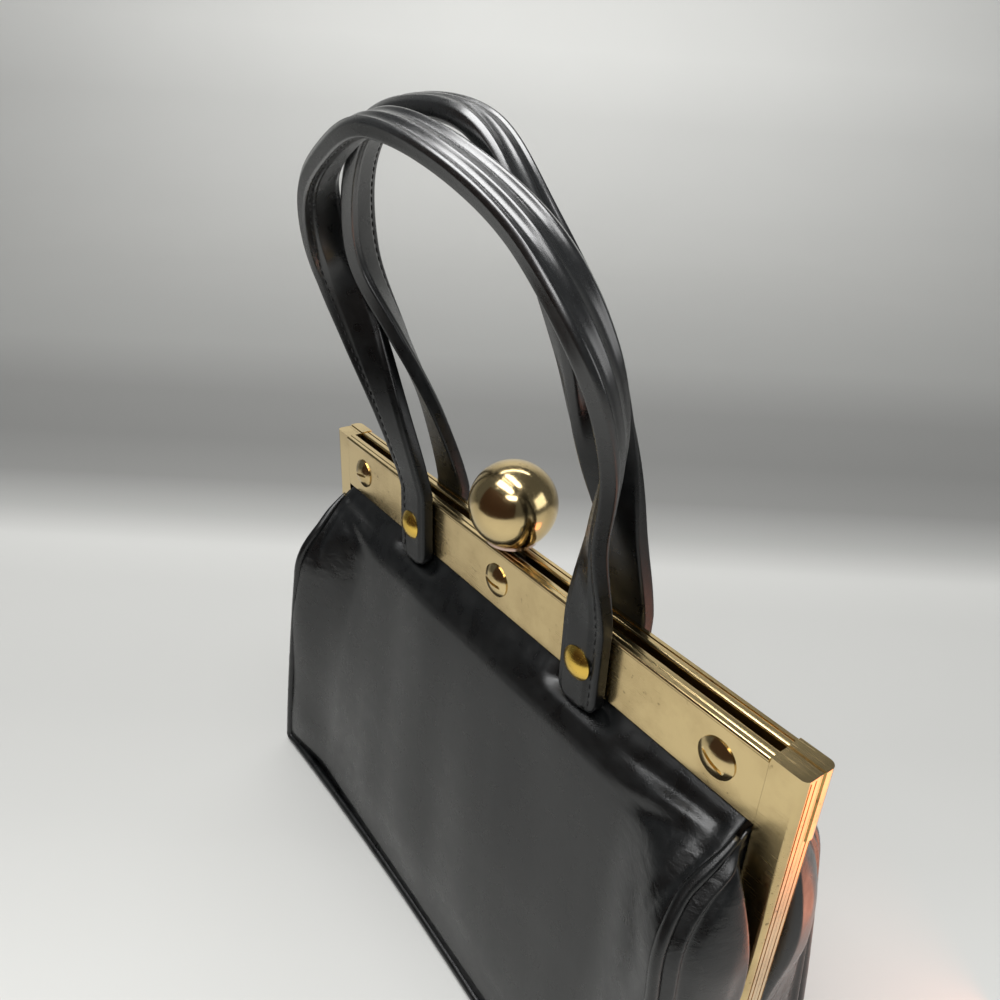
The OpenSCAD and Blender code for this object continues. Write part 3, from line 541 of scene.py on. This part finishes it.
class LeatherSettings(bpy.types.PropertyGroup):
    colour: bpy.props.FloatVectorProperty(name="Leather colour", description="Colour of the smooth black leather",
                                          subtype="COLOR", size=3, min=0, max=1, default=(0.0045, 0.005, 0.0052))
    gloss: bpy.props.FloatProperty(name="Leather roughness", description="Lower is glossier",
                                   min=0.1, max=0.9, default=0.3)
    grain: bpy.props.FloatProperty(name="Grain scale", description="Grain cells per metre", min=200, max=3000,
                                   default=1300)
    crease: bpy.props.FloatProperty(name="Crease depth", description="Depth of the gathers at the corners",
                                    unit="LENGTH", min=0, max=0.003, default=0.0011)
    lining: bpy.props.FloatVectorProperty(name="Lining colour", description="Colour of the cloth inside",
                                          subtype="COLOR", size=3, min=0, max=1, default=(0.15, 0.1, 0.06))


class HandleSettings(bpy.types.PropertyGroup):
    pleat: bpy.props.FloatProperty(name="Pleat height", description="Height of the pleats over the grip",
                                   unit="LENGTH", min=0, max=0.002, default=0.0007)
    stitch: bpy.props.FloatProperty(name="Stitch pitch", description="Distance from stitch to stitch",
                                    unit="LENGTH", min=0.002, max=0.006, default=0.0033)
    tongue: bpy.props.FloatProperty(name="Tongue corner", description="Corner radius of a strap's lower end",
                                    unit="LENGTH", min=0.002, max=0.008, default=0.0055)


class MetalSettings(bpy.types.PropertyGroup):
    brass: bpy.props.FloatVectorProperty(name="Brass colour", description="Colour of the polished frame",
                                         subtype="COLOR", size=3, min=0, max=1, default=(0.66, 0.51, 0.26))
    yellow: bpy.props.FloatVectorProperty(name="Rivet colour", description="Colour of the yellow brass rivets",
                                          subtype="COLOR", size=3, min=0, max=1, default=(0.75, 0.5, 0.1))
    rose: bpy.props.FloatVectorProperty(name="Collar colour", description="Colour of the collar under the ball",
                                        subtype="COLOR", size=3, min=0, max=1, default=(0.55, 0.4, 0.33))
    roughness: bpy.props.FloatProperty(name="Brass roughness", description="Lower is more polished",
                                       min=0.03, max=0.6, default=0.16)


class StudioSettings(bpy.types.PropertyGroup):
    floor: bpy.props.FloatVectorProperty(name="Floor colour", description="Colour of the floor and backdrop",
                                         subtype="COLOR", size=3, min=0, max=1, default=(0.5, 0.5, 0.49))
    key: bpy.props.FloatProperty(name="Key light", description="Power of the large soft light", unit="POWER",
                                 min=0, max=100, default=7)
    focal: bpy.props.FloatProperty(name="Focal length", description="Focal length of the camera in millimetres",
                                   min=10, max=200, default=29.5)


class HANDBAG_OT_finishes(bpy.types.Operator):
    """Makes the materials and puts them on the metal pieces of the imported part"""

    bl_idname = "handbag.finishes"
    bl_label = "Finishes"

    def execute(self, context):
        leather = context.scene.handbag_leather
        metal = context.scene.handbag_metal
        GROUPS.update(grain=grain_group(), hairlines=hairline_group(), tarnish=tarnish_group())
        brass, rough = tuple(metal.brass), metal.roughness
        dark = tuple(c * f for c, f in zip(brass, (0.55, 0.5, 0.45)))
        FINISH.update(
            leather=leather_material("smooth black leather", leather.colour, leather.gloss, leather.grain, 0.03,
                                     0.28),
            strap=leather_material("handle leather", leather.colour, leather.gloss, leather.grain * 1.3, 0.3,
                                   polish=(0.215, 0.275)),
            piping=leather_material("piping leather", tuple(c * 0.8 for c in leather.colour), leather.gloss,
                                    leather.grain, 0.1),
            lining=cloth_material("lining cloth", leather.lining),
            board=board_material(),
            thread=thread_material((0.016, 0.016, 0.016)),
            brass=brass_material("frame brass", brass, dark, rough),
            ball=brass_material("ball brass", tuple(c * 0.98 for c in brass), dark, rough * 0.75, 0.3, 0.9),
            rivet=brass_material("rivet brass", tuple(metal.yellow), tuple(c * 0.6 for c in metal.yellow), 0.2,
                                 0.3),
            collar=brass_material("collar metal", tuple(metal.rose), tuple(c * 0.6 for c in metal.rose), 0.2),
            steel=steel_material(),
        )
        for finish, names in {
            "brass": ["front_channel", "rear_channel", "front_plate", "rear_plate", "front_plate_screws",
                      "rear_plate_screws", "rear_corner_sleeves", "hinge_pins", "clasp_lever"],
            "ball": ["clasp_ball"],
            "rivet": ["front_handle_rivets", "rear_handle_rivets"],
            "collar": ["clasp_collar"],
            "steel": ["clasp_catch", "clasp_bracket", "clasp_pivot_pin", "clasp_spring"],
            "board": ["base_board"],
        }.items():
            for name in names:
                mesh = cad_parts[name].data
                mesh.materials.clear()
                mesh.materials.append(FINISH[finish])
        return {"FINISHED"}


# Leather of the bag


def gathers(x, z, depth):
    """Height of the folds that run from a top corner into the leather, in millimetres."""
    a = abs(x)
    from_corner = 111 - a
    fade = smooth(from_corner / 5)
    first = -hump(z - (136.6 - 0.055 * from_corner), 1.5) * fade * (1 - smooth((from_corner - 22) / 30))
    second = -hump(z - (135.5 - 0.34 * from_corner), 2.6) * fade * (1 - smooth((from_corner - 16) / 18))
    third = 0.7 * hump(z - (135.5 - 0.2 * from_corner), 2.4) * fade * (1 - smooth((from_corner - 18) / 26))
    down = 136 - z
    steep = -0.8 * hump(from_corner - 0.24 * down - 1.5, 2.2) * smooth(down / 5) * (1 - smooth((down - 14) / 16))
    return depth * (first + second + third + steep)


def sag(x, z, seed):
    """Slow unevenness of old leather, in millimetres."""
    calm = smooth((z - 6) / 24) * (1 - roll(z))
    slow = noise.noise(Vector((x / 46 + seed, z / 60, seed)))
    waves = noise.noise(Vector((x / 24 + 0.4 * z / 40, z / 70, seed + 7)))
    return calm * (2.2 * slow + 0.7 * waves)


def pressed(x, y, z):
    """The leather is pressed back behind a strap's tongue."""
    side = 1 - smooth((abs(abs(x) - PITCH) - STRAP_W / 2 + 1.2) / 10)
    limit = HALF_T - 0.35 + 3.4 * max(TONGUE_Z + 0.4 - z, 0)
    over = y - limit
    return y - side * (0.5 * (over + math.hypot(over, 1.6)) - 0.12) * smooth((over + 3) / 3)


def panel_place(x, z, depth, seed):
    """Point on the outer face of the front leather."""

    def base(x, z):
        return Vector((x, -panel_y(x, z), z))

    point = base(x, z)
    run_x = base(x + 0.5, z) - base(x - 0.5, z)
    run_z = base(x, min(z + 0.3, LIP_Z)) - base(x, min(z, LIP_Z - 0.3) - 0.3)
    out = run_x.cross(run_z).normalized()
    room = 1 - smooth((z - LIP_Z + 1.5) / 1.5)
    point += out * (LEATHER_T / 2 + (gathers(x, z, depth) + sag(x, z, seed)) * room)
    if z > 118:
        point.y = -pressed(x, -point.y, z)
    return point


def leather_panel(name, node, half, seed, crease):
    """Front or rear leather, with closer rows toward the frame, where it folds."""

    def place(u, v):
        if v < 0.97:
            z = mix(PANEL_BOTTOM, LIP_Z, v ** 0.72 / 0.97 ** 0.72)
        else:
            z = min(mix(LIP_Z, PANEL_TOP, (v - 0.97) / 0.03), PANEL_TOP)
        x = (2 * u - 1) * (edge_x(z) - EDGE_GAP * 0.5)
        if z > LIP_Z:
            return x, -edge_y(z) - LEATHER_T / 2 * 0.9, z
        return panel_place(x, z, crease, seed)

    bm = shaped_grid(200, 130, place)
    put(bm, half)
    piece = finished_piece(name, bm, [FINISH["leather"], FINISH["lining"]])
    thickened(piece, LEATHER_T * 0.9)
    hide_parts(node)
    follow_half(piece)


def gusset_half(name, node, side, half, seed):
    """Half of a side's leather, from the piping to the fold behind the legs."""

    def place(u, v):
        z = mix(SIDE_BOTTOM, SIDE_TOP, v)
        far = edge_y(max(z, PANEL_BOTTOM)) - EDGE_GAP * 0.45
        y = -(1 - u) * far
        x = gusset_x(y, z)
        beside = far + y
        x += 1.1 * hump(beside - 2.2, 1.1) * smooth((SIDE_TOP - z) / 10)
        x -= 0.7 * hump(beside - 4.6, 1.3) * smooth((SIDE_TOP - z) / 10)
        free = smooth((abs(y) - 8) / 8) * smooth(beside / 8)
        slow = noise.noise(Vector((y / 17, z / 34, seed)))
        quick = noise.noise(Vector((y / 6, z / 15, seed + 3)))
        x += free * (1.4 * slow + 0.5 * quick)
        return x + LEATHER_T / 2, y, z

    bm = shaped_grid(60, 110, place)
    put(bm, half, side)
    piece = finished_piece(name, bm, [FINISH["leather"], FINISH["lining"]])
    thickened(piece, LEATHER_T * 0.9, 1)
    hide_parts(node)
    follow_half(piece)


def pleat_half(name, node, side, half):
    """Inner half of the fold behind the legs, a web just off the middle plane between the frame's halves."""
    rise = 1 / (FOLLOW_TO - FOLLOW_FROM)

    def place(u, v):
        z = mix(FOLLOW_FROM, SIDE_TOP, v)
        fold = TUCK_X - PLEAT_DEPTH * (z - FOLLOW_FROM) * rise
        return mix(fold, TUCK_X, u), -0.55 * smooth(u * 4) * smooth(v * 6) - 0.02, z

    bm = shaped_grid(24, 44, place)
    put(bm, half, side)
    piece = finished_piece(name, bm, [FINISH["lining"], FINISH["leather"]])
    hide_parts(node)
    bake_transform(piece)


def piping_path():
    """Middle line of the front seam's piping: down the right side, along the base and up the left side."""
    heights = [mix(137, PIPING_Z + PIPING_CORNER, i / 90) for i in range(91)]
    side = [Vector((edge_x(z), -edge_y(z), z)) for z in heights]
    corner = []
    for step in range(1, 8):
        a = math.radians(90 * step / 8)
        corner.append(Vector((edge_x(PIPING_Z) - PIPING_CORNER * (1 - math.cos(a)), -edge_y(PIPING_Z),
                              PIPING_Z + PIPING_CORNER * (1 - math.sin(a)))))
    reach = edge_x(PIPING_Z) - PIPING_CORNER
    base = [Vector((mix(1, -1, i / 60) * reach, 0, PIPING_Z)) for i in range(61)]
    for p in base:
        p.y = -edge_y(PIPING_Z) + BASE_DISH * across(p.x, 0)
    left = [Vector((-p.x, p.y, p.z)) for p in reversed(side + corner)]
    return side + corner + base + left


def leather_piping(name, node, half):
    path = piping_path()
    rings = []
    last = len(path) - 1
    for i, p in enumerate(path):
        t = (path[min(i + 1, last)] - path[max(i - 1, 0)]).normalized()
        b = t.cross(Vector((0, -1, 0))).normalized()
        c = b.cross(t)
        taper = mix(0.55, 1, smooth(min(i, last - i) / 6))
        r = PIPING_R * taper * (1 + 0.035 * noise.noise(Vector((i * 0.35, 3, 1))))
        rings.append([p + r * (math.cos(a) * c + math.sin(a) * b)
                      for a in [2 * math.pi * k / 14 for k in range(14)]])
    bm = lofted_tube(rings)
    put(bm, half)
    piece = finished_piece(name, bm, FINISH["piping"])
    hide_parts(node)
    follow_half(piece)


class HANDBAG_OT_leather(bpy.types.Operator):
    """Makes the front and rear leather, the sides with their folds, the piping and the base"""

    bl_idname = "handbag.leather"
    bl_label = "Leather"

    def execute(self, context):
        crease = context.scene.handbag_leather.crease / MM
        leather_panel("front_leather", "front_panel", "front_frame", 2.0, crease)
        leather_panel("rear_leather", "rear_panel", "rear_frame", 11.0, crease)
        for side, word in ((1, "right"), (-1, "left")):
            for half in ("front", "rear"):
                seed = 5 + 3 * side + (7 if half == "rear" else 0)
                gusset_half(f"{word}_{half}_side", f"{word}_gusset", side, half + "_frame", seed)
                pleat_half(f"{word}_{half}_pleat", f"{word}_gusset", side, half + "_frame")
        leather_piping("front_seam_piping", "front_piping", "front_frame")
        leather_piping("rear_seam_piping", "rear_piping", "rear_frame")

        def place(u, v):
            x = (2 * u - 1) * (edge_x(0) + 0.5)
            y = (2 * v - 1) * (edge_y(PIPING_Z) - BASE_DISH * across(x, 0) - EDGE_GAP)
            return x, y, LEATHER_T

        bm = shaped_grid(60, 20, place)
        piece = finished_piece("base_leather", bm, FINISH["leather"], "bag")
        thickened(piece, LEATHER_T)
        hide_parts("base_panel")
        return {"FINISHED"}


# Lining


def lining_sheet(name, half):
    """Half of the lining, which stays behind the leather and off the middle plane."""

    def place(u, v):
        z = mix(LINING_BOTTOM, LINING_TOP, v)
        x = (2 * u - 1) * (edge_x(z) - 2.2)
        y = pressed(x, panel_y(x, z), z) - LINING_GAP + 0.5 * noise.noise(Vector((x / 14, z / 18, 4)))
        return x, -max(y, 2.3), z

    bm = shaped_grid(90, 60, place)
    bmesh.ops.reverse_faces(bm, faces=bm.faces)
    put(bm, half)
    piece = finished_piece(name, bm, FINISH["lining"])
    thickened(piece, LINING_T)
    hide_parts("lining")
    follow_half(piece)


class HANDBAG_OT_lining(bpy.types.Operator):
    """Makes the cloth lining, one half for each half of the frame, its floor and the patch pocket"""

    bl_idname = "handbag.lining"
    bl_label = "Lining"

    def execute(self, context):
        lining_sheet("front_lining", "front_frame")
        lining_sheet("rear_lining", "rear_frame")

        def floor_place(u, v):
            x = (2 * u - 1) * 117
            y = (2 * v - 1) * (edge_y(4) - 3.6 * across(x, 0) - 3)
            return x, y, 3.95 + 0.25 * noise.noise(Vector((x / 20, y / 20, 1)))

        bm = shaped_grid(60, 24, floor_place)
        floor = finished_piece("base_lining", bm, FINISH["lining"], "bag")
        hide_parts("lining")

        def pocket_place(u, v):
            z = POCKET_Z + POCKET_H * v
            x = (u - 0.5) * POCKET_W
            gape = 0.5 + 2.5 * smooth(v) * (1 - (2 * x / POCKET_W) ** 2)
            return x, panel_y(x, z) - LINING_GAP - gape, z

        bm = shaped_grid(40, 24, pocket_place)
        pocket = finished_piece("patch_pocket", bm, FINISH["lining"])
        thickened(pocket, LINING_T)
        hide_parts("inner_pocket")
        follow_half(pocket)
        return {"FINISHED"}


# Handles


def strap_path(shape):
    """Points of a strap from tongue to tongue in even steps, each with its turn in degrees."""
    line = [(Vector(p[:3]), p[3]) for p in shape["line"]]
    straight = [(line[0][0] + Vector((0, 0, mix(TONGUE_Z - BEND_Z, 0, i / 12))), 0.0) for i in range(12)]
    knots = [(line[0][0] - Vector((0, 0, 20)), 0.0)] + line + [(line[-1][0] - Vector((0, 0, 20)), 0.0)]
    curve = []
    for i in range(1, len(knots) - 2):
        (a, ta), (b, tb), (c, tc), (d, td) = knots[i - 1:i + 3]
        for k in range(24):
            t = k / 24
            w = (-t + 2 * t * t - t ** 3, 2 - 5 * t * t + 3 * t ** 3, t + 4 * t * t - 3 * t ** 3, t ** 3 - t * t)
            curve.append(((w[0] * a + w[1] * b + w[2] * c + w[3] * d) / 2,
                          (w[0] * ta + w[1] * tb + w[2] * tc + w[3] * td) / 2))
    curve.append(line[-1])
    mirror = Vector((line[-1][0].x - line[0][0].x, 0, 0))
    points = straight + curve + [(p + mirror, t) for p, t in reversed(straight)]
    run = [0.0]
    for a, b in zip(points, points[1:]):
        run.append(run[-1] + (b[0] - a[0]).length)
    steps = round(run[-1] / STRAP_STEP)
    path, k = [], 0
    for i in range(steps + 1):
        at = run[-1] * i / steps
        while k < len(run) - 2 and run[k + 1] < at:
            k += 1
        share = (at - run[k]) / max(run[k + 1] - run[k], 1e-9)
        path.append((points[k][0].lerp(points[k + 1][0], share), mix(points[k][1], points[k + 1][1], share)))
    return path


def strap_frames(path, shape):
    """At each point of the line: point, height, outward edge direction and direction of the stitched face."""
    facing = Vector((0, -1, -shape["facing"])).normalized()
    frames, last = [], len(path) - 1
    for i, (p, turn) in enumerate(path):
        h = p.z - BEND_Z
        t = (path[min(i + 1, last)][0] - path[max(i - 1, 0)][0]).normalized()
        ahead = facing.lerp(Vector((0, -1, 0)), 1 - smooth((h + 4) / 12)).normalized()
        out = t.cross(ahead).normalized()
        flat = out.cross(t)
        turn = math.radians(turn)
        wide = out * math.cos(turn) - shape["side"] * flat * math.sin(turn)
        frames.append((p, h, wide, -shape["side"] * wide.cross(t)))
    return frames


def strap_section(w, t, pleats, shrink):
    """Section of the strap: padded stitched face, edge of two plies and pleated outer face."""
    a, b, r = w / 2, t / 2 - 0.35, 1.1
    b *= shrink
    stitched, outer = [], []
    count = 24
    for k in range(count + 1):
        s = mix(-1, 1, k / count)
        q = s * (a - r)
        share = q / w
        pad = 0.55 * smooth((0.26 - share) / 0.05) * smooth((share + 0.42) / 0.1)
        groove = -0.22 * hump(share - STITCH_AT, 0.035)
        stitched.append((q, b + (pad + groove) * shrink))
        crowned = 0.35 * (1 - s * s)
        folds = (hump(share - 0.4, 0.05) + 0.8 * hump(share - 0.06, 0.07) + hump(share + 0.36, 0.07)
                 - 0.5 * hump(share - 0.24, 0.1) - 0.55 * hump(share + 0.16, 0.1))
        outer.append((q, -b - (crowned + pleats * folds) * shrink))
    bends = [math.radians(g) for g in (30, 60, 85)]
    right = [(a - r + r * math.sin(g), b - min(r, b) * (1 - math.cos(g))) for g in bends]
    groove = [(a - 0.3 * shrink, 0.25 * b)]
    return (stitched + right + groove + [(x, -y) for x, y in reversed(right)] + list(reversed(outer))
            + [(-x, -y) for x, y in right] + [(-a + 0.12, 0)] + [(-x, y) for x, y in reversed(right)])


def strap_width(h):
    """Width of a strap at a height over its bend: tongue, arm and grip."""
    return mix(mix(STRAP_W, ARM_W, smooth((h - 8) / 25)), GRIP_W, smooth((h - 86) / 38))


def strap_piece(word, settings):
    """One strap from tongue to tongue, and its row of stitches as a piece of its own."""
    shape = HANDLES[word]
    path = strap_path(shape)
    frames = strap_frames(path, shape)
    corner = settings.tongue / MM
    rings = []
    lengths = [0.0]
    for a, b in zip(path, path[1:]):
        lengths.append(lengths[-1] + (b[0] - a[0]).length)
    for (p, h, wide, thick), at in zip(frames, lengths):
        from_end = min(at, lengths[-1] - at)
        w = strap_width(h)
        if from_end < corner:
            w -= 2 * (corner - math.sqrt(max(corner ** 2 - (corner - from_end) ** 2, 0.0)))
        shrink = mix(0.72, 1, smooth(from_end / 1.6))
        pleats = settings.pleat / MM * smooth((h - 48) / 40)
        pleats *= 1 + 0.35 * noise.noise(Vector((at / 30, shape["side"], 0)))
        rings.append([p + q * wide + d * thick for q, d in strap_section(w, STRAP_T, pleats, shrink)])
    strap = finished_piece(f"{word}_strap", lofted_tube(rings), FINISH["strap"])
    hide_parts(f"{word}_handle", f"{word}_handle_ends")

    seam = bmesh.new()
    pitch = settings.stitch / MM
    at, k = STITCH_FROM, 0
    while at < lengths[-1] - STITCH_FROM:
        while lengths[k + 1] < at:
            k += 1
        p, h, wide, thick = frames[k]
        q = frames[k + 1]
        share = (at - lengths[k]) / (lengths[k + 1] - lengths[k])
        along = (q[0] - p).normalized()
        centre = p.lerp(q[0], share) + strap_width(h) * STITCH_AT * wide + (STRAP_T / 2 - 0.42) * thick
        matrix = Matrix((along * 1.15, wide * 0.3, thick * 0.26)).transposed().to_4x4()
        matrix = Matrix.Diagonal((MM, MM, MM, 1)) @ (Matrix.Translation(centre) @ matrix)
        bmesh.ops.create_icosphere(seam, subdivisions=1, radius=1, matrix=matrix)
        at += pitch
    bmesh.ops.recalc_face_normals(seam, faces=seam.faces)
    stitches = finished_piece(f"{word}_strap_stitches", seam, FINISH["thread"])
    for piece in (strap, stitches):
        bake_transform(piece)


class HANDBAG_OT_handles(bpy.types.Operator):
    """Makes each handle as one stitched strap from tongue to tongue, with its stitches"""

    bl_idname = "handbag.handles"
    bl_label = "Handles"

    def execute(self, context):
        settings = context.scene.handbag_handles
        strap_piece("front", settings)
        strap_piece("rear", settings)
        return {"FINISHED"}


# Studio

# Painted light and shade on the paper: a brightness factor by its depth behind the bag in metres, dark in a band
# behind the bag and brighter in front of it and far behind it
PAPER_PAINTED_LIGHT_AND_SHADE = ((-0.1, 1.35), (-0.05, 1.28), (0, 1.16), (0.05, 1.06), (0.12, 1.0), (0.24, 1.02), (0.29, 1.1),
            (0.336, 0.72), (0.396, 0.44), (0.48, 0.38), (0.6, 0.43), (0.77, 0.63), (1.03, 0.79), (1.6, 1.13),
            (1.85, 1.35), (1.95, 1.6))

# Width and length of the paper, how much of it lies in front of the bag, where it bends up and how wide the bend is
PAPER = 6000
PAPER_FRONT = 2400
PAPER_BEND = 1300.0
BEND_R = 700.0

# Camera: place in metres, and the directions to its right, down and ahead
CAMERA_PLACE = Vector((0.1933, -0.1495, 0.3076))
CAMERA_RIGHT = Vector((0.5792, 0.8141, 0.0413))
CAMERA_DOWN = Vector((0.3953, -0.2362, -0.8877))
CAMERA_AHEAD = Vector((-0.7129, 0.5305, -0.4586))


def studio_light(name, place, aim, size, power, colour=(1, 1, 1)):
    light = bpy.data.lights.new(name, "AREA")
    light.shape = "RECTANGLE"
    light.size, light.size_y = size
    light.energy = power
    light.color = colour
    lamp = bpy.data.objects.new(name, light)
    bpy.context.scene.collection.objects.link(lamp)
    lamp.location = place
    lamp.rotation_euler = (Vector(aim) - Vector(place)).to_track_quat("-Z", "Y").to_euler()
    return lamp


class HANDBAG_OT_studio(bpy.types.Operator):
    """Makes the floor with its backdrop and their painted light and shade, the soft lights and the camera"""

    bl_idname = "handbag.studio"
    bl_label = "Studio"

    def execute(self, context):
        settings = context.scene.handbag_studio
        look = Vector((CAMERA_AHEAD.x, CAMERA_AHEAD.y, 0)).normalized()

        def place(u, v):
            x = (u - 0.5) * PAPER
            s = v * PAPER - PAPER_FRONT
            if s < PAPER_BEND:
                back, z = s, 0.0
            elif s < PAPER_BEND + BEND_R * math.pi / 2:
                a = (s - PAPER_BEND) / BEND_R
                back, z = PAPER_BEND + BEND_R * math.sin(a), BEND_R * (1 - math.cos(a))
            else:
                back, z = PAPER_BEND + BEND_R, BEND_R + s - PAPER_BEND - BEND_R * math.pi / 2
            side = Vector((-look.y, look.x, 0))
            p = look * back - side * x
            return p.x, p.y, z - 0.02

        material, n, where, shader = new_material("studio paper")
        # Painted light and shade: the floor colour is multiplied by a brightness ramp along the paper's depth,
        # slanted a little across it
        depth = n.add("ShaderNodeVectorMath", _out=1, _settings={"operation": "DOT_PRODUCT"}, _0=where, _1=look)
        sides = n.add("ShaderNodeVectorMath", _out=1, _settings={"operation": "DOT_PRODUCT"}, _0=where,
                      _1=Vector((look.y, -look.x, 0)))
        depth = n.math("ADD", depth, n.math("MULTIPLY_ADD", sides, 0.015, 0.032))
        near, far = PAPER_PAINTED_LIGHT_AND_SHADE[0][0], PAPER_PAINTED_LIGHT_AND_SHADE[-1][0]
        band = n.add("ShaderNodeValToRGB", Fac=n.ramp(depth, near, far))
        stops = band.node.color_ramp.elements
        stops.remove(stops[1])
        for at, painted_brightness in PAPER_PAINTED_LIGHT_AND_SHADE:
            stop = stops[0] if at == near else stops.new((at - near) / (far - near))
            stop.color = (painted_brightness, painted_brightness, painted_brightness * 0.985, 1)
        cloud = n.add("ShaderNodeTexNoise", Vector=where, Scale=3.0, Detail=3.0)
        paper = n.blend_colours(cloud, rgb(settings.floor, 0.97), rgb(settings.floor, 1.03))
        paper = n.add("ShaderNodeVectorMath", _settings={"operation": "MULTIPLY"}, _0=paper, _1=band)
        set_shader(n, shader, Base_Color=paper, Roughness=0.75)
        floor = finished_piece("studio_floor", shaped_grid(10, 90, place), material)

        # Dark card in front of the bag, seen only in what the brass and the leather reflect
        material, n, where, shader = new_material("dark room")
        set_shader(n, shader, Base_Color=(0.05, 0.022, 0.012, 1), Roughness=0.9)
        seen = n.add("ShaderNodeLightPath", _out=3)
        clear = n.add("ShaderNodeBsdfTransparent")
        both = n.add("ShaderNodeMixShader", _0=seen, _1=clear, _2=shader.outputs[0])
        n.tree.links.new(both, n.tree.get_output_node("ALL").inputs[0])
        card = shaped_grid(2, 2, lambda u, v: (mix(-500, 1000, u), -600, 760 * v))
        room = finished_piece("dark_room", card, material)

        studio_light("key", (0.9, -0.9, 1.3), (0, 0, 0.12), (0.8, 0.3), settings.key * 0.7)
        studio_light("top", (0.02, -0.3, 1.25), (0, 0, 0.15), (1.0, 0.7), settings.key * 2.4)
        studio_light("side", (0.9, 0.75, 0.5), (0, 0, 0.15), (0.7, 0.5), settings.key * 0.3)
        studio_light("wall", look * 0.9 + Vector((0, 0, 1.7)), look * 2.1 + Vector((0, 0, 0.5)), (1.6, 0.5),
                     settings.key * 2.6)
        warm = studio_light("warm", (0.2, 0.1, 0.015), (0.13, 0, 0.06), (0.1, 0.1), settings.key * 0.012,
                            (1.0, 0.25, 0.08))
        warm.visible_camera = False
        world = bpy.data.worlds.new("studio")
        context.scene.world = world
        world.use_nodes = True
        world.node_tree.nodes["Background"].inputs[0].default_value = (0.8, 0.82, 0.84, 1)
        world.node_tree.nodes["Background"].inputs[1].default_value = 0.14

        camera = bpy.data.cameras.new("camera")
        camera.lens = settings.focal
        camera.sensor_width = 36
        camera.clip_start = 0.01
        seat = bpy.data.objects.new("camera", camera)
        context.scene.collection.objects.link(seat)
        turn = Matrix((CAMERA_RIGHT, -CAMERA_DOWN, -CAMERA_AHEAD)).transposed().to_4x4()
        seat.matrix_world = Matrix.Translation(CAMERA_PLACE) @ turn
        context.scene.camera = seat
        context.scene.view_settings.view_transform = "Standard"
        return {"FINISHED"}


class HANDBAG_PT_panel(bpy.types.Panel):
    bl_idname = "HANDBAG_PT_panel"
    bl_label = "Handbag"
    bl_space_type = "VIEW_3D"
    bl_region_type = "UI"
    bl_category = "Handbag"

    def draw(self, context):
        for name in SETTINGS:
            box = self.layout.box()
            settings = getattr(context.scene, name)
            for key in settings.bl_rna.properties.keys():
                if key not in ("rna_type", "name"):
                    box.prop(settings, key)
        for operator in OPERATORS:
            self.layout.operator(operator.bl_idname)


OPERATORS = [HANDBAG_OT_finishes, HANDBAG_OT_leather, HANDBAG_OT_lining, HANDBAG_OT_handles, HANDBAG_OT_studio]
SETTINGS = {"handbag_leather": LeatherSettings, "handbag_handles": HandleSettings, "handbag_metal": MetalSettings,
            "handbag_studio": StudioSettings}


def register():
    for kind in [*SETTINGS.values(), *OPERATORS, HANDBAG_PT_panel]:
        bpy.utils.register_class(kind)
    for name, kind in SETTINGS.items():
        setattr(bpy.types.Scene, name, bpy.props.PointerProperty(type=kind))


def unregister():
    for name in SETTINGS:
        delattr(bpy.types.Scene, name)
    for kind in [HANDBAG_PT_panel, *reversed(OPERATORS), *SETTINGS.values()]:
        bpy.utils.unregister_class(kind)


def main():
    register()
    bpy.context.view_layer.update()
    for step in ("finishes", "leather", "lining", "handles", "studio"):
        getattr(bpy.ops.handbag, step)()


if __name__ == "__main__":
    main()
